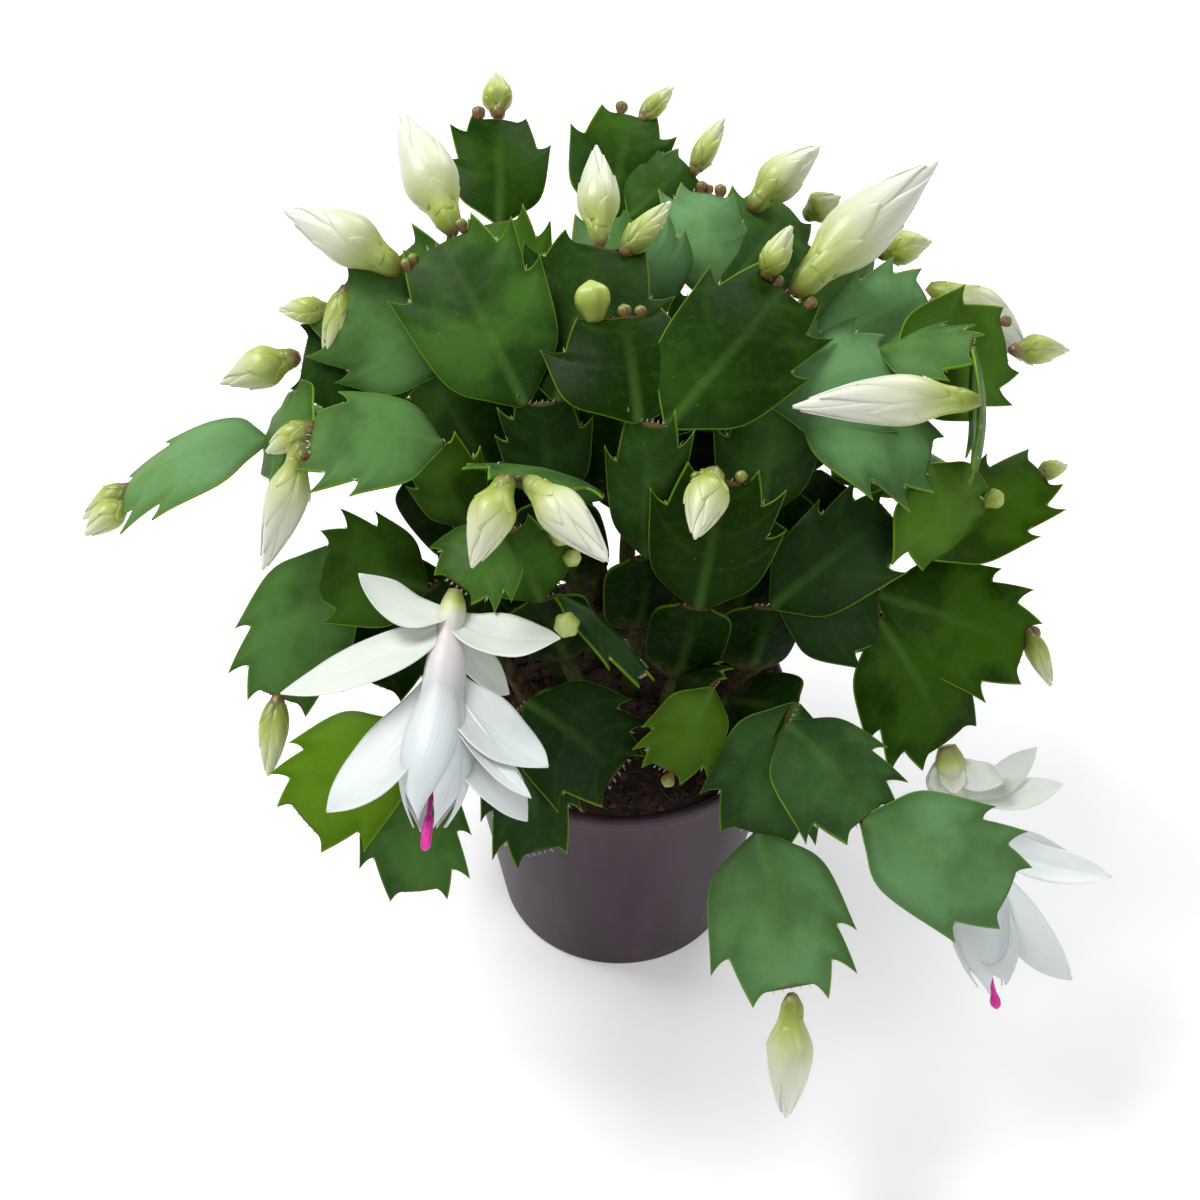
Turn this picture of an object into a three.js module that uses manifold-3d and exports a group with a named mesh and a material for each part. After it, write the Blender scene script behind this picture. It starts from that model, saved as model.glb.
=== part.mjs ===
// A christmas cactus in a small plastic pot: flat jointed leafy stems with toothed edges,
// bullet-shaped white buds and two open hanging flowers. Millimetres, +Z up, pot bottom at z = 0.
import * as THREE from 'three';
import { mergeVertices } from 'three/addons/utils/BufferGeometryUtils.js';
import Module from 'manifold-3d';

const wasm = await Module();
wasm.setup();

// ---------------------------------------------------------------- driving sizes
const POT_TOP_RADIUS = 49;        // over the rolled rim
const POT_BOTTOM_RADIUS = 36.5;
const POT_HEIGHT = 86;
const POT_WALL = 1.3;
const POT_SIDES = 30;
const DRAIN_RING_RADIUS = 23;
const DRAIN_HOLE_RADIUS = 3.2;
const DRAIN_HOLES = 6;
const SOIL_CROWN_HEIGHT = 97;     // top of the heap, on the axis
const SOIL_FALL = 0.0045;         // the heap falls by this times the radius squared
const SOIL_GAP = 0.35;
const STUB_RADIUS = 2.7;          // woody foot of a stem, standing in its hole
const STUB_DEPTH = 11;
const STUB_SIDES = 5;
const FIT_GAP = 0.4;
const RIB_THICKNESS = 3.1;        // of a segment along its midrib
const EDGE_THICKNESS = 1.0;
const CUP = 0.12;                 // how far a segment's sides droop, of its half width

// ---------------------------------------------------------------- small helpers
const vec = (x, y, z) => new THREE.Vector3(x, y, z);
const point = (a) => vec(a[0], a[1], a[2]);

/** A repeatable draw in 0..1 from two numbers. */
const draw = (a, b) => {
  const v = Math.sin(a * 12.9898 + b * 78.233) * 43758.5453;
  return v - Math.floor(v);
};

/** A unit vector from an azimuth and an elevation in degrees. */
const looking = (azimuth, elevation) => {
  const a = THREE.MathUtils.degToRad(azimuth), e = THREE.MathUtils.degToRad(elevation);
  return vec(Math.cos(e) * Math.cos(a), Math.cos(e) * Math.sin(a), Math.sin(e));
};

/** A closed three.js geometry as a solid that can be joined and cut. */
function solid(geometry) {
  const g = geometry.index ? geometry.toNonIndexed() : geometry.clone();
  g.deleteAttribute('normal');
  g.deleteAttribute('uv');
  const m = mergeVertices(g, 1e-4);
  return new wasm.Manifold(new wasm.Mesh({
    numProp: 3,
    vertProperties: new Float32Array(m.attributes.position.array),
    triVerts: new Uint32Array(m.index.array),
  }));
}

/** A solid from points and triangles; turned outside out if its volume is negative. */
function fromTriangles(points, triangles) {
  let volume = 0;
  for (const [a, b, c] of triangles) volume += points[a].dot(points[b].clone().cross(points[c]));
  const flat = [];
  for (const p of points) flat.push(p.x, p.y, p.z);
  const order = volume > 0 ? triangles.flat() : triangles.map(([a, b, c]) => [a, c, b]).flat();
  return new wasm.Manifold(new wasm.Mesh({
    numProp: 3, vertProperties: new Float32Array(flat), triVerts: new Uint32Array(order),
  }));
}

/** Rings of equal length, closed into a solid with a fan at each end. */
function skin(rings) {
  const n = rings[0].length, points = rings.flat(), triangles = [];
  for (let r = 0; r + 1 < rings.length; r++) {
    for (let i = 0; i < n; i++) {
      const a = r * n + i, b = r * n + (i + 1) % n;
      triangles.push([a, b, b + n], [a, b + n, a + n]);
    }
  }
  for (const [ring, flip] of [[0, true], [rings.length - 1, false]]) {
    const centre = points.length;
    points.push(rings[ring].reduce((s, p) => s.add(p), vec(0, 0, 0)).divideScalar(n));
    for (let i = 0; i < n; i++) {
      const a = ring * n + i, b = ring * n + (i + 1) % n;
      triangles.push(flip ? [centre, b, a] : [centre, a, b]);
    }
  }
  return fromTriangles(points, triangles);
}

/** A round solid swept along a path of points, with a radius at each. */
function tube(path, radii, sides) {
  const first = path[1].clone().sub(path[0]).normalize();
  let across = vec(0, 0, 1).cross(first);
  if (across.length() < 0.1) across = vec(1, 0, 0);
  return skin(path.map((p, k) => {
    const along = path[Math.min(k + 1, path.length - 1)].clone()
      .sub(path[Math.max(k - 1, 0)]).normalize();
    const u = across.clone().addScaledVector(along, -across.dot(along)).normalize();
    const w = along.clone().cross(u);
    return Array.from({ length: sides }, (_, i) => {
      const t = 2 * Math.PI * i / sides;
      return p.clone().addScaledVector(u, radii[k] * Math.cos(t))
        .addScaledVector(w, radii[k] * Math.sin(t));
    });
  }));
}

const soilHeight = (r) => SOIL_CROWN_HEIGHT - SOIL_FALL * r * r;

// ---------------------------------------------------------------- how the plant grows
// One row a segment: name, what it grows from (a segment, or the place of its foot in the soil),
// where along that segment's end (-1 to 1), its own tip in millimetres, its width, the azimuth
// and elevation that its face looks at, and its arch as a share of its length.
const STEMS = {
  leafy_stem_crown: [
    ['a1', [3, -9], 0, [4, -13, 126], 15, -90, 20, 0],
    ['a2', 'a1', 0, [6, -17, 158], 22, -70, 20, 0.03],
    ['a3', 'a2', 0, [7, -12, 199], 22, -100, 20, 0.05],
    ['S8', 'a3', -0.5, [0, 17, 209], 41, -90, 78, 0.06],
    ['S6', 'a3', 0.6, [43, 33, 206], 36, -90, 48, 0.06],
  ],
  leafy_stem_top: [
    ['b1', [-8, 3], 0, [-12, 3, 128], 15, -90, 20, 0],
    ['b2', 'b1', 0, [-19, 0, 162], 24, -100, 20, 0.03],
    ['b3', 'b2', 0, [-21, 4, 192], 24, -90, 30, 0.04],
    ['S7', 'b3', 0.6, [-6, 51, 207], 42, -90, 60, 0.06],
    ['S1', 'b3', -0.6, [-47, 43, 215], 38, -95, 50, 0.06],
    ['C5', 'b2', 0, [-24, -28, 194], 34, -90, 75, 0.1],
  ],
  leafy_stem_left: [
    ['c1', [-18, -4], 0, [-30, -9, 124], 15, -100, 30, 0],
    ['c2', 'c1', 0, [-42, -7, 160], 22, -80, 30, 0.04],
    ['c3', 'c2', 0, [-48, -7, 187], 20, -80, 35, 0.04],
    ['C1', 'c3', 0.3, [-80, -8, 189], 34, -85, 85, 0.08],
    ['C3', 'C1', -0.6, [-95, 13, 171], 30, -100, 60, 0.05],
    ['C2', 'C3', 0, [-137, 16, 150], 32, -90, 88, 0.08],
  ],
  leafy_stem_upper_left: [
    ['s1', [-16, 10], 0, [-24, 12, 128], 14, -100, 30, 0],
    ['s2', 's1', 0, [-36, 16, 160], 26, -110, 30, 0.04],
    ['s3', 's2', 0, [-50, 22, 188], 30, -110, 40, 0.05],
    ['S3', 's3', 0.4, [-77, 37, 200], 34, -95, 50, 0.05],
    ['S5', 's3', -0.5, [-86, 31, 186], 32, -100, 45, 0.06],
  ],
  leafy_stem_back_left: [
    ['d1', [-12, 19], 0, [-18, 28, 126], 15, -90, 30, 0],
    ['d2', 'd1', 0, [-27, 50, 162], 26, -90, 50, 0.04],
    ['d3', 'd2', 0, [-35, 87, 191], 30, -90, 50, 0.06],
    ['A1', 'd3', 0, [-36, 121, 203], 29, -80, 45, 0.05],
    ['S4', 'd2', -0.6, [-63, 72, 190], 34, -110, 50, 0.05],
  ],
  leafy_stem_back: [
    ['e1', [2, 22], 0, [2, 33, 126], 15, -90, 30, 0],
    ['e2', 'e1', 0, [0, 54, 163], 26, -90, 50, 0.04],
    ['e3', 'e2', 0, [-5, 93, 188], 28, -90, 50, 0.05],
    ['A2', 'e3', 0.1, [3, 125, 202], 31, -80, 45, 0.05],
    ['A3', 'e3', 0.9, [20, 113, 192], 24, -70, 50, 0.05],
  ],
  leafy_stem_back_right: [
    ['g1', [16, 16], 0, [20, 23, 122], 15, -90, 30, 0],
    ['g2', 'g1', 0, [26, 36, 156], 26, -80, 40, 0.04],
    ['g3', 'g2', -0.2, [22, 54, 190], 30, -80, 40, 0.04],
    ['A4', 'g3', 0, [24, 86, 201], 28, -70, 45, 0.05],
    ['A5', 'g3', -0.8, [3, 60, 204], 24, -90, 40, 0.04],
    ['A6', 'g3', 0.8, [49, 97, 188], 32, -70, 50, 0.05],
  ],
  leafy_stem_right: [
    ['h1', [27, 6], 0, [35, 10, 120], 15, -80, 30, 0],
    ['h2', 'h1', 0, [45, 22, 148], 26, -80, 45, 0.04],
    ['h3', 'h2', 0, [50, 47, 176], 30, -80, 50, 0.04],
    ['R2', 'h3', 0.3, [86, 65, 181], 29, -85, 50, 0.05],
    ['R1', 'h3', -0.6, [72, 77, 186], 28, -20, 10, 0.05],
  ],
  leafy_stem_upper_right: [
    ['i1', [24, -6], 0, [31, -6, 122], 15, -80, 30, 0],
    ['i2', 'i1', 0, [37, 2, 154], 22, -80, 30, 0.03],
    ['i3', 'i2', 0, [39, 9, 189], 28, -80, 35, 0.04],
    ['R3', 'i3', -0.2, [70, 21, 191], 34, -85, 65, 0.06],
    ['R4', 'R3', 0.3, [104, 36, 186], 34, -80, 40, 0.05],
    ['R5', 'R3', -0.4, [91, 18, 199], 22, -90, 85, 0.04],
    ['R6', 'R5', 0, [91, -5, 175], 20, 0, 5, 0.06],
    ['R7', 'i3', 0.7, [81, 2, 174], 34, -90, 75, 0.06],
    ['R8', 'R7', 0.2, [88, -6, 149], 32, -60, 30, 0.08],
    ['R9', 'R8', -0.6, [116, 20, 154], 25, -90, 60, 0.05],
  ],
  leafy_stem_lower_right: [
    ['j1', [31, -13], 0, [36, -16, 112], 15, -80, 30, 0],
    ['j2', 'j1', 0, [39, -16, 138], 22, -80, 35, 0.03],
    ['R10', 'j2', 0.2, [73, 3, 154], 28, -90, 60, 0.06],
    ['R11', 'j2', 0.5, [70, -13, 135], 32, -90, 50, 0.06],
    ['R12', 'R11', -0.3, [113, -10, 115], 34, -80, 50, 0.08],
    ['R13', 'R11', 0.4, [90, -31, 99], 37, -70, 40, 0.08],
  ],
  leafy_stem_front_centre: [
    ['f1', [13, -19], 0, [15, -24, 118], 15, -90, 20, 0],
    ['f2', 'f1', 0, [19, -28, 150], 22, -90, 30, 0.03],
    ['C10', 'f2', 0.1, [25, -21, 188], 33, -90, 40, 0.05],
    ['f4', 'f1', 0.6, [24, -39, 130], 16, -90, 60, 0.04],
    ['L2', 'f4', 0, [11, -53, 113], 22, -60, 40, 0.06],
  ],
  leafy_stem_front_right: [
    ['k1', [26, -27], 0, [29, -27, 112], 14, -90, 20, 0],
    ['k2', 'k1', 0, [45, -43, 124], 24, -80, 60, 0.04],
    ['RB1', 'k2', 0.5, [36, -62, 97], 33, -90, 40, 0.06],
    ['RB3', 'RB1', 0, [44, -99, 79], 37, -90, 60, 0.06],
    ['RB2', 'k2', -0.4, [64, -68, 112], 32, -60, 45, 0.05],
    ['RB4', 'RB2', -0.2, [102, -77, 92], 34, -80, 45, 0.08],
  ],
  leafy_stem_front: [
    ['l1', [-8, -31], 0, [-18, -36, 106], 14, -90, 30, 0],
    ['l2', 'l1', 0, [-28, -42, 125], 20, -90, 40, 0.03],
    ['L1', 'l2', 0.5, [-1, -54, 113], 34, -70, 60, 0.06],
    ['L5', 'l2', -0.4, [-22, -68, 97], 26, -60, 50, 0.06],
  ],
  leafy_stem_lower_left: [
    ['m1', [-27, -14], 0, [-35, -17, 120], 15, -110, 30, 0],
    ['m2', 'm1', 0, [-52, -20, 149], 26, -110, 40, 0.04],
    ['L10', 'm2', 0, [-79, -17, 156], 30, -100, 55, 0.06],
    ['L8', 'L10', -0.4, [-92, -38, 125], 30, -100, 15, 0.08],
    ['L9', 'm2', -0.8, [-66, -36, 128], 28, -100, 40, 0.06],
  ],
  leafy_stem_front_left: [
    ['p1', [-24, -28], 0, [-38, -37, 110], 14, -100, 30, 0],
    ['p2', 'p1', 0, [-58, -53, 128], 22, -100, 50, 0.04],
    ['L6', 'p2', -0.4, [-84, -66, 108], 32, -110, 45, 0.07],
    ['L7', 'p2', 0.6, [-54, -74, 88], 28, -80, 45, 0.06],
  ],
  leafy_stem_bloom: [
    ['n1', [-11, -18], 0, [-15, -23, 124], 15, -90, 20, 0],
    ['n2', 'n1', 0, [-21, -25, 150], 22, -90, 30, 0.03],
    ['n3', 'n2', -0.1, [-29, -23, 172], 24, -90, 40, 0.03],
    ['C6', 'n3', -0.2, [-42, -37, 166], 24, -90, 70, 0.08],
    ['C7', 'n2', 0.5, [5, -42, 138], 18, 60, 60, 0.05],
  ],
  leafy_stem_rear_left: [
    ['o1', [-30, 16], 0, [-40, 24, 118], 15, 150, 30, 0],
    ['o2', 'o1', 0, [-58, 36, 142], 26, 150, 50, 0.04],
    ['o3', 'o2', -0.3, [-82, 50, 150], 32, 150, 75, 0.08],
    ['o4', 'o3', 0, [-96, 72, 128], 32, 130, 40, 0.08],
    ['o5', 'o2', 0.6, [-62, 66, 128], 32, 110, 45, 0.08],
  ],
  leafy_stem_rear: [
    ['q1', [-6, 34], 0, [-10, 46, 118], 15, 90, 30, 0],
    ['q2', 'q1', 0, [-20, 72, 138], 26, 90, 50, 0.04],
    ['q3', 'q2', 0.3, [-30, 104, 140], 33, 95, 80, 0.08],
    ['q4', 'q3', 0, [-34, 132, 116], 34, 95, 40, 0.08],
    ['q5', 'q2', -0.6, [-52, 92, 128], 32, 120, 60, 0.08],
  ],
  leafy_stem_rear_right: [
    ['r1', [16, 32], 0, [22, 46, 118], 15, 80, 30, 0],
    ['r2', 'r1', 0, [30, 72, 138], 26, 80, 50, 0.04],
    ['r3', 'r2', -0.3, [40, 102, 140], 33, 80, 80, 0.08],
    ['r4', 'r3', 0, [46, 130, 114], 34, 80, 40, 0.08],
    ['r5', 'r2', 0.6, [62, 88, 122], 32, 50, 50, 0.08],
  ],
  leafy_stem_right_rear: [
    ['t1', [34, 14], 0, [44, 20, 116], 15, 40, 30, 0],
    ['t2', 't1', 0, [62, 36, 138], 26, 40, 50, 0.04],
    ['t3', 't2', 0, [88, 52, 132], 32, 40, 75, 0.08],
    ['t4', 't3', 0, [106, 66, 104], 32, 40, 35, 0.08],
  ],
  leafy_stem_low_left: [
    ['u1', [-35, -2], 0, [-46, 2, 110], 14, 170, 30, 0],
    ['u2', 'u1', 0, [-70, 12, 120], 28, 170, 60, 0.06],
    ['u3', 'u2', 0, [-88, 30, 98], 32, 160, 40, 0.08],
  ],
  leafy_stem_low_right: [
    ['w1', [38, 2], 0, [50, 4, 106], 14, 10, 30, 0],
    ['w2', 'w1', 0, [76, 12, 112], 28, 10, 60, 0.06],
    ['w3', 'w2', 0, [96, 26, 90], 32, 20, 40, 0.08],
  ],
};

// Half outlines of a segment: share of the length, share of the half width. The teeth point
// forwards, and the two sides differ, as the teeth of a real segment do.
const THREE_TEETH = [
  [0.00, 0.07], [0.09, 0.38], [0.27, 0.84], [0.68, 1.10], [0.625, 0.82],
  [0.97, 0.98], [0.86, 0.65], [1.09, 0.50], [0.985, 0.34],
];
const TWO_TEETH = [
  [0.00, 0.07], [0.09, 0.38], [0.27, 0.84], [0.82, 1.08], [0.74, 0.78], [1.06, 0.58], [0.985, 0.34],
];
// An inner segment, older and darker, has nearly lost its teeth
const WORN = [[0.00, 0.12], [0.30, 0.90], [0.80, 0.96], [0.98, 0.40]];

/** Works out each segment's start, direction, face and length from the rows above. */
function grow(rows, known) {
  rows.forEach(([name, from, offset, tip, width, azimuth, elevation, arch], k) => {
    const rooted = Array.isArray(from);
    const start = rooted
      ? vec(from[0], from[1], soilHeight(Math.hypot(from[0], from[1])) + 2)
      : surface(known[from], 0.975, offset * 0.6);
    const end = point(tip);
    const along = end.clone().sub(start);
    const length = along.length();
    along.normalize();
    const face = looking(azimuth, elevation);
    face.addScaledVector(along, -face.dot(along)).normalize();
    const side = along.clone().cross(face);
    if (side.x - 0.35 * side.y < 0) side.negate();    // + across is to the right, or forwards
    known[name] = {
      name, start, end, along, face, side, length, width: rooted ? 5 : width, arch,
      seed: 3.7 * k + end.x + 0.3 * end.y, foot: rooted ? from : null, inner: /^[a-z]2$/.test(name),
    };
  });
}

/** A point of a segment's middle surface: u along it, v across it. */
function surface(s, u, v) {
  const rise = 4 * s.arch * s.length * u * (1 - u) - CUP * 0.5 * s.width * v * v;
  return s.start.clone().addScaledVector(s.along, s.length * u)
    .addScaledVector(s.side, 0.5 * s.width * v).addScaledVector(s.face, rise);
}

/** One flat segment: a toothed outline, thick along its midrib and thin at its edge. */
function blade(s) {
  const swap = draw(s.seed, 2) > 0.5;
  const halves = [1, -1].map((hand) => {
    const outline = s.inner ? WORN : (hand > 0) === swap ? THREE_TEETH : TWO_TEETH;
    const slip = s.inner ? 0 : 0.07 * (draw(s.seed, hand) - 0.5);
    return outline.map(([u, v], i) => [u + (i === 3 || i === 4 ? slip : 0), v * hand]);
  });
  const rib = [0, s.inner ? 0.5 : 0.40, 1], m = rib.length;
  const flat = [...rib.map((u) => [u, 0]), ...halves[0], ...halves[1]];
  const thickness = flat.map((_, i) => (i < m ? [1.4, RIB_THICKNESS, 1.5][i] : EDGE_THICKNESS));
  const points = [];
  for (const way of [1, -1]) {
    flat.forEach(([u, v], i) => points.push(
      surface(s, u, v).addScaledVector(s.face, way * thickness[i] / 2)));
  }
  // each side point is joined to the midrib station that sees it past the teeth
  const half = (outline, o) => {
    const faces = [], n = outline.length, station = (i) => (s.inner ? [0, 1, 1, 2][i] : i < 2 ? 0 : 1);
    for (let i = 0; i + 1 < n; i++) {
      faces.push([station(i), o + i, o + i + 1]);
      if (station(i + 1) !== station(i)) faces.push([station(i), o + i + 1, station(i + 1)]);
    }
    if (station(n - 1) !== m - 1) faces.push([station(n - 1), o + n - 1, m - 1]);
    return faces;
  };
  const R = m, L = m + halves[0].length, all = flat.length;
  const top = [...half(halves[0], R), ...half(halves[1], L).map(([a, b, c]) => [a, c, b])];
  const triangles = [...top, ...top.map(([a, b, c]) => [a + all, c + all, b + all])];
  const rim = [0, ...halves[0].map((_, i) => R + i), m - 1,
    ...halves[1].map((_, i) => L + i).reverse()];
  rim.forEach((a, i) => {
    const b = rim[(i + 1) % rim.length];
    triangles.push([b, a, a + all], [b, a + all, b + all]);
  });
  return fromTriangles(points, triangles);
}

/** The round woody foot of a stem, from the bottom of its hole in the soil to its first joint. */
function foot(s) {
  const [x, y] = s.foot, top = soilHeight(Math.hypot(x, y));
  return tube([vec(x, y, top - STUB_DEPTH), vec(x, y, top + 2.5), s.end.clone().addScaledVector(s.along, 1.5)],
    [STUB_RADIUS, STUB_RADIUS, 2.0], STUB_SIDES);
}

// ---------------------------------------------------------------- buds
// name, segment, place on it (along, across), tip in millimetres, largest radius, extra clearance
const LARGE_BUDS = [
  ['bud_01', 'S1', 1.0, 0.15, [-60, 81, 230], 7.4],
  ['bud_02', 'S1', 0.95, -0.66, [-90, 51, 219], 7.0],
  ['bud_03', 'S5', 1.0, 0, [-109, 29, 178], 5.5],
  ['bud_04', 'A4', 0.93, 0.85, [57, 102, 206], 6.0, 0.1],
  ['bud_05', 'A6', 1.0, 0.3, [64, 98, 192], 4.5, 0.25],
  ['bud_06', 'S6', 1.0, 0.1, [85, 69, 222], 8.4],
  ['bud_07', 'S7', 1.0, 0, [-7, 82, 219], 5.6],
  ['bud_08', 'R1', 1.0, 0, [89, 81, 188], 5.0],
  ['bud_09', 'R2', 1.0, -0.15, [115, 50, 168], 6.2, 0.4],
  ['bud_10', 'R4', 1.0, 0.1, [123, 41, 180], 4.0],
  ['bud_11', 'R6', 0.45, 1.0, [42, -10, 202], 6.5, -0.3],
  ['bud_12', 'C1', 1.0, 0, [-93, -26, 161], 5.4],
  ['bud_13', 'C5', 1.0, -0.25, [-37, -49, 184], 5.6, 0.25],
  ['bud_14', 'C5', 1.0, 0, [-4, -55, 192], 5.6],
  ['bud_15', 'C10', 1.0, -0.15, [17, -43, 188], 5.3, 0.35],
  ['bud_16', 'RB3', 1.0, 0, [44, -114, 41], 6.0],
  ['bud_17', 'A1', 1.0, 0, [-37, 138, 209], 4.5],
  ['bud_18', 'q4', 1.0, 0.1, [-38, 150, 90], 6.0],
  ['bud_19', 'o4', 1.0, -0.1, [-106, 84, 100], 6.5],
  ['bud_20', 'r4', 1.0, 0, [50, 150, 88], 5.5],
];
// Smaller buds that have grown as one piece with their segment
const SMALL_BUDS = [
  ['S7', 1.0, 0.3, [13, 62, 214], 3.6],
  ['S3', 1.0, -0.2, [-92, 38, 196], 3.6],
  ['S3', 1.0, 0.3, [-79, 26, 188], 3.6],
  ['A2', 1.0, 0.2, [16, 138, 204], 3.0],
  ['A3', 1.0, 0.2, [31, 127, 200], 3.4],
  ['S6', 1.0, -0.35, [44, 42, 220], 3.6],
  ['C1', 1.0, -0.3, [-92, -4, 182], 3.6],
  ['C2', 1.0, 0.3, [-146, 1, 148], 4.0],
  ['C2', 1.0, -0.1, [-150, 14, 142], 3.4],
  ['L8', 1.0, 0, [-94, -54, 112], 3.8],
  ['R12', 1.0, 0.3, [120, -18, 108], 3.0],
  ['R9', 1.0, 0, [124, 24, 153], 2.6],
  ['u3', 1.0, 0, [-96, 38, 84], 3.6],
  ['r5', 1.0, 0, [74, 96, 112], 3.4],
  ['t4', 1.0, 0, [114, 74, 92], 3.4],
];
// A bud's radius along its length, as shares of the largest radius and of the length
const BUD_PROFILE = [[0, 0.22], [0.08, 0.48], [0.17, 0.52], [0.38, 0.98], [0.62, 0.84], [0.86, 0.40], [1.0, 0.07]];
const SMALL_PROFILE = [[0, 0.35], [0.35, 1.0], [0.7, 0.75], [1.0, 0.15]];
const BUD_SIDES = 6;

/** Where a bud's foot starts, just clear of its segment's edge. */
function budSeat(s, u, v, tip, extra = 0) {
  const edge = surface(s, u, v), way = tip.clone().sub(edge).normalize();
  const out = u >= 1 ? s.along : s.side.clone().multiplyScalar(Math.sign(v));
  const straight = Math.max(way.dot(out), 0), turned = Math.sqrt(1 - straight * straight);
  return edge.addScaledVector(out, 2.0 * turned * turned + extra).addScaledVector(way, 0.5 * straight);
}

/** A pleated bullet: a narrow foot, a full middle and a pointed end. */
function bud(start, tip, radius, sides = BUD_SIDES, profile = BUD_PROFILE) {
  const along = tip.clone().sub(start);
  const length = along.length();
  along.normalize();
  let u = vec(0, 0, 1).cross(along);
  if (u.length() < 0.1) u = vec(1, 0, 0);
  u.normalize();
  const w = along.clone().cross(u);
  return skin(profile.map(([t, r]) => Array.from({ length: sides }, (_, i) => {
    const a = 2 * Math.PI * i / sides + 0.9 * t;
    const ring = radius * r * (1 + 0.07 * (i % 2 ? 1 : -1));
    return start.clone().addScaledVector(along, length * t)
      .addScaledVector(u, ring * Math.cos(a)).addScaledVector(w, ring * Math.sin(a));
  })));
}

// ---------------------------------------------------------------- flowers
// Each hangs from a segment's end towards the tip of its style. A tepal's row: how far down the
// flower it starts, and its tip (to the right, towards the front, down the flower), its width.
const FLOWERS = {
  flower_left: {
    from: 'C6', style: [-48, -96, 134], tepals: [
      [5.6, [-24, 4, -1], 12], [7, [-39, 6, 32], 14], [7, [28, 6, 12], 15], [6, [10, -10, 6], 11],
      [9, [16, -10, 23], 13], [22, [-24, 6, 60], 16], [22, [28, 6, 45], 16], [24, [24, 0, 57], 14],
      [24, [25, 12, 54], 7], [24, [-13, -14, 46], 13],
    ],
  },
  flower_right: {
    from: 'R13', style: [105, -81, 43], tepals: [
      [12, [25, -2, 6], 9], [12, [29, 4, 16], 10], [24, [37, 6, 44], 11], [22, [32, -8, 41], 10],
      [28, [3, 10, 66], 13], [28, [21, 6, 70], 13], [5, [-6, 5, 12], 8], [5, [12, 8, 12], 9],
      [24, [-12, -12, 50], 14], [24, [1, -10, 65], 13],
    ],
  },
};
const TUBE_PROFILE = [[0, 1.6], [0.05, 3.0], [0.12, 3.4], [0.17, 3.1], [0.27, 4.4], [0.60, 7.6], [0.74, 7.5]];

/** The axis frame of a flower: its foot, its way down, and right and front across it. */
function flowerFrame({ from, style }) {
  const end = surface(segments[from], 1.0, 0), tip = point(style);
  const along = tip.clone().sub(end).normalize();
  const foot = budSeat(segments[from], 1.0, 0, tip, 0.2);
  const right = vec(1, 0, 0).addScaledVector(along, -along.x).normalize();
  const front = right.clone().cross(along);
  if (front.y > 0) front.negate();
  return { foot, along, right, front, length: tip.distanceTo(foot) };
}

/** One tepal: a thin pointed blade that leaves the tube and bends back to its tip. */
function tepal(f, [s0, [x, y, s1], width]) {
  const at = (px, py, ps) => f.foot.clone().addScaledVector(f.right, px)
    .addScaledVector(f.front, py).addScaledVector(f.along, ps);
  const p0 = at(0, 0, s0), p2 = at(x, y, s1);
  const reach = p0.distanceTo(p2);
  const p1 = at(x * 0.35, y * 0.35, s0 + 0.55 * Math.max(s1 - s0, 0.4 * reach));
  const curve = new THREE.QuadraticBezierCurve3(p0, p1, p2);
  // its face is half turned to the front, as the open flower shows it
  const facing = f.front.clone().multiplyScalar(0.8).addScaledVector(f.along, -0.6);
  const shape = [[0, 0.3], [0.35, 0.8], [0.7, 1.0], [1, 0.08]];
  return skin(shape.map(([t, w]) => {
    const c = curve.getPoint(t), way = curve.getTangent(t);
    const up = facing.clone().addScaledVector(way, -facing.dot(way)).normalize();
    const across = way.clone().cross(up).normalize();
    const h = 0.5 * width * w;
    return [[-h, 0.5 * w], [0, -0.6 * w - 0.4], [h, 0.5 * w], [0, 0.7 - 0.2 * w]].map(([k, lift]) => c.clone()
      .addScaledVector(across, k).addScaledVector(up, lift));
  }));
}

const group = new THREE.Group();
const segments = {};
for (const rows of Object.values(STEMS)) grow(rows, segments);

const MATERIALS = {
  pot: new THREE.MeshStandardMaterial({ color: 0x4a3c43, roughness: 0.45, metalness: 0 }),
  soil: new THREE.MeshStandardMaterial({ color: 0x2b1c18, roughness: 0.95, metalness: 0 }),
  stem: new THREE.MeshStandardMaterial({ color: 0x2f5a1c, roughness: 0.35, metalness: 0 }),
  bud: new THREE.MeshStandardMaterial({ color: 0xdfe8c0, roughness: 0.45, metalness: 0 }),
  petal: new THREE.MeshStandardMaterial({ color: 0xf2f3ee, roughness: 0.45, metalness: 0 }),
  style: new THREE.MeshStandardMaterial({ color: 0xc40a78, roughness: 0.4, metalness: 0 }),
};

/** Puts a finished solid into the scene as a named mesh. */
function place(name, piece, material) {
  const mesh = piece.getMesh();
  const geometry = new THREE.BufferGeometry();
  geometry.setAttribute('position', new THREE.BufferAttribute(new Float32Array(mesh.vertProperties), 3));
  geometry.setIndex(new THREE.BufferAttribute(new Uint32Array(mesh.triVerts), 1));
  geometry.computeVertexNormals();
  const node = new THREE.Mesh(geometry, material);
  node.name = name;
  group.add(node);
}

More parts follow.
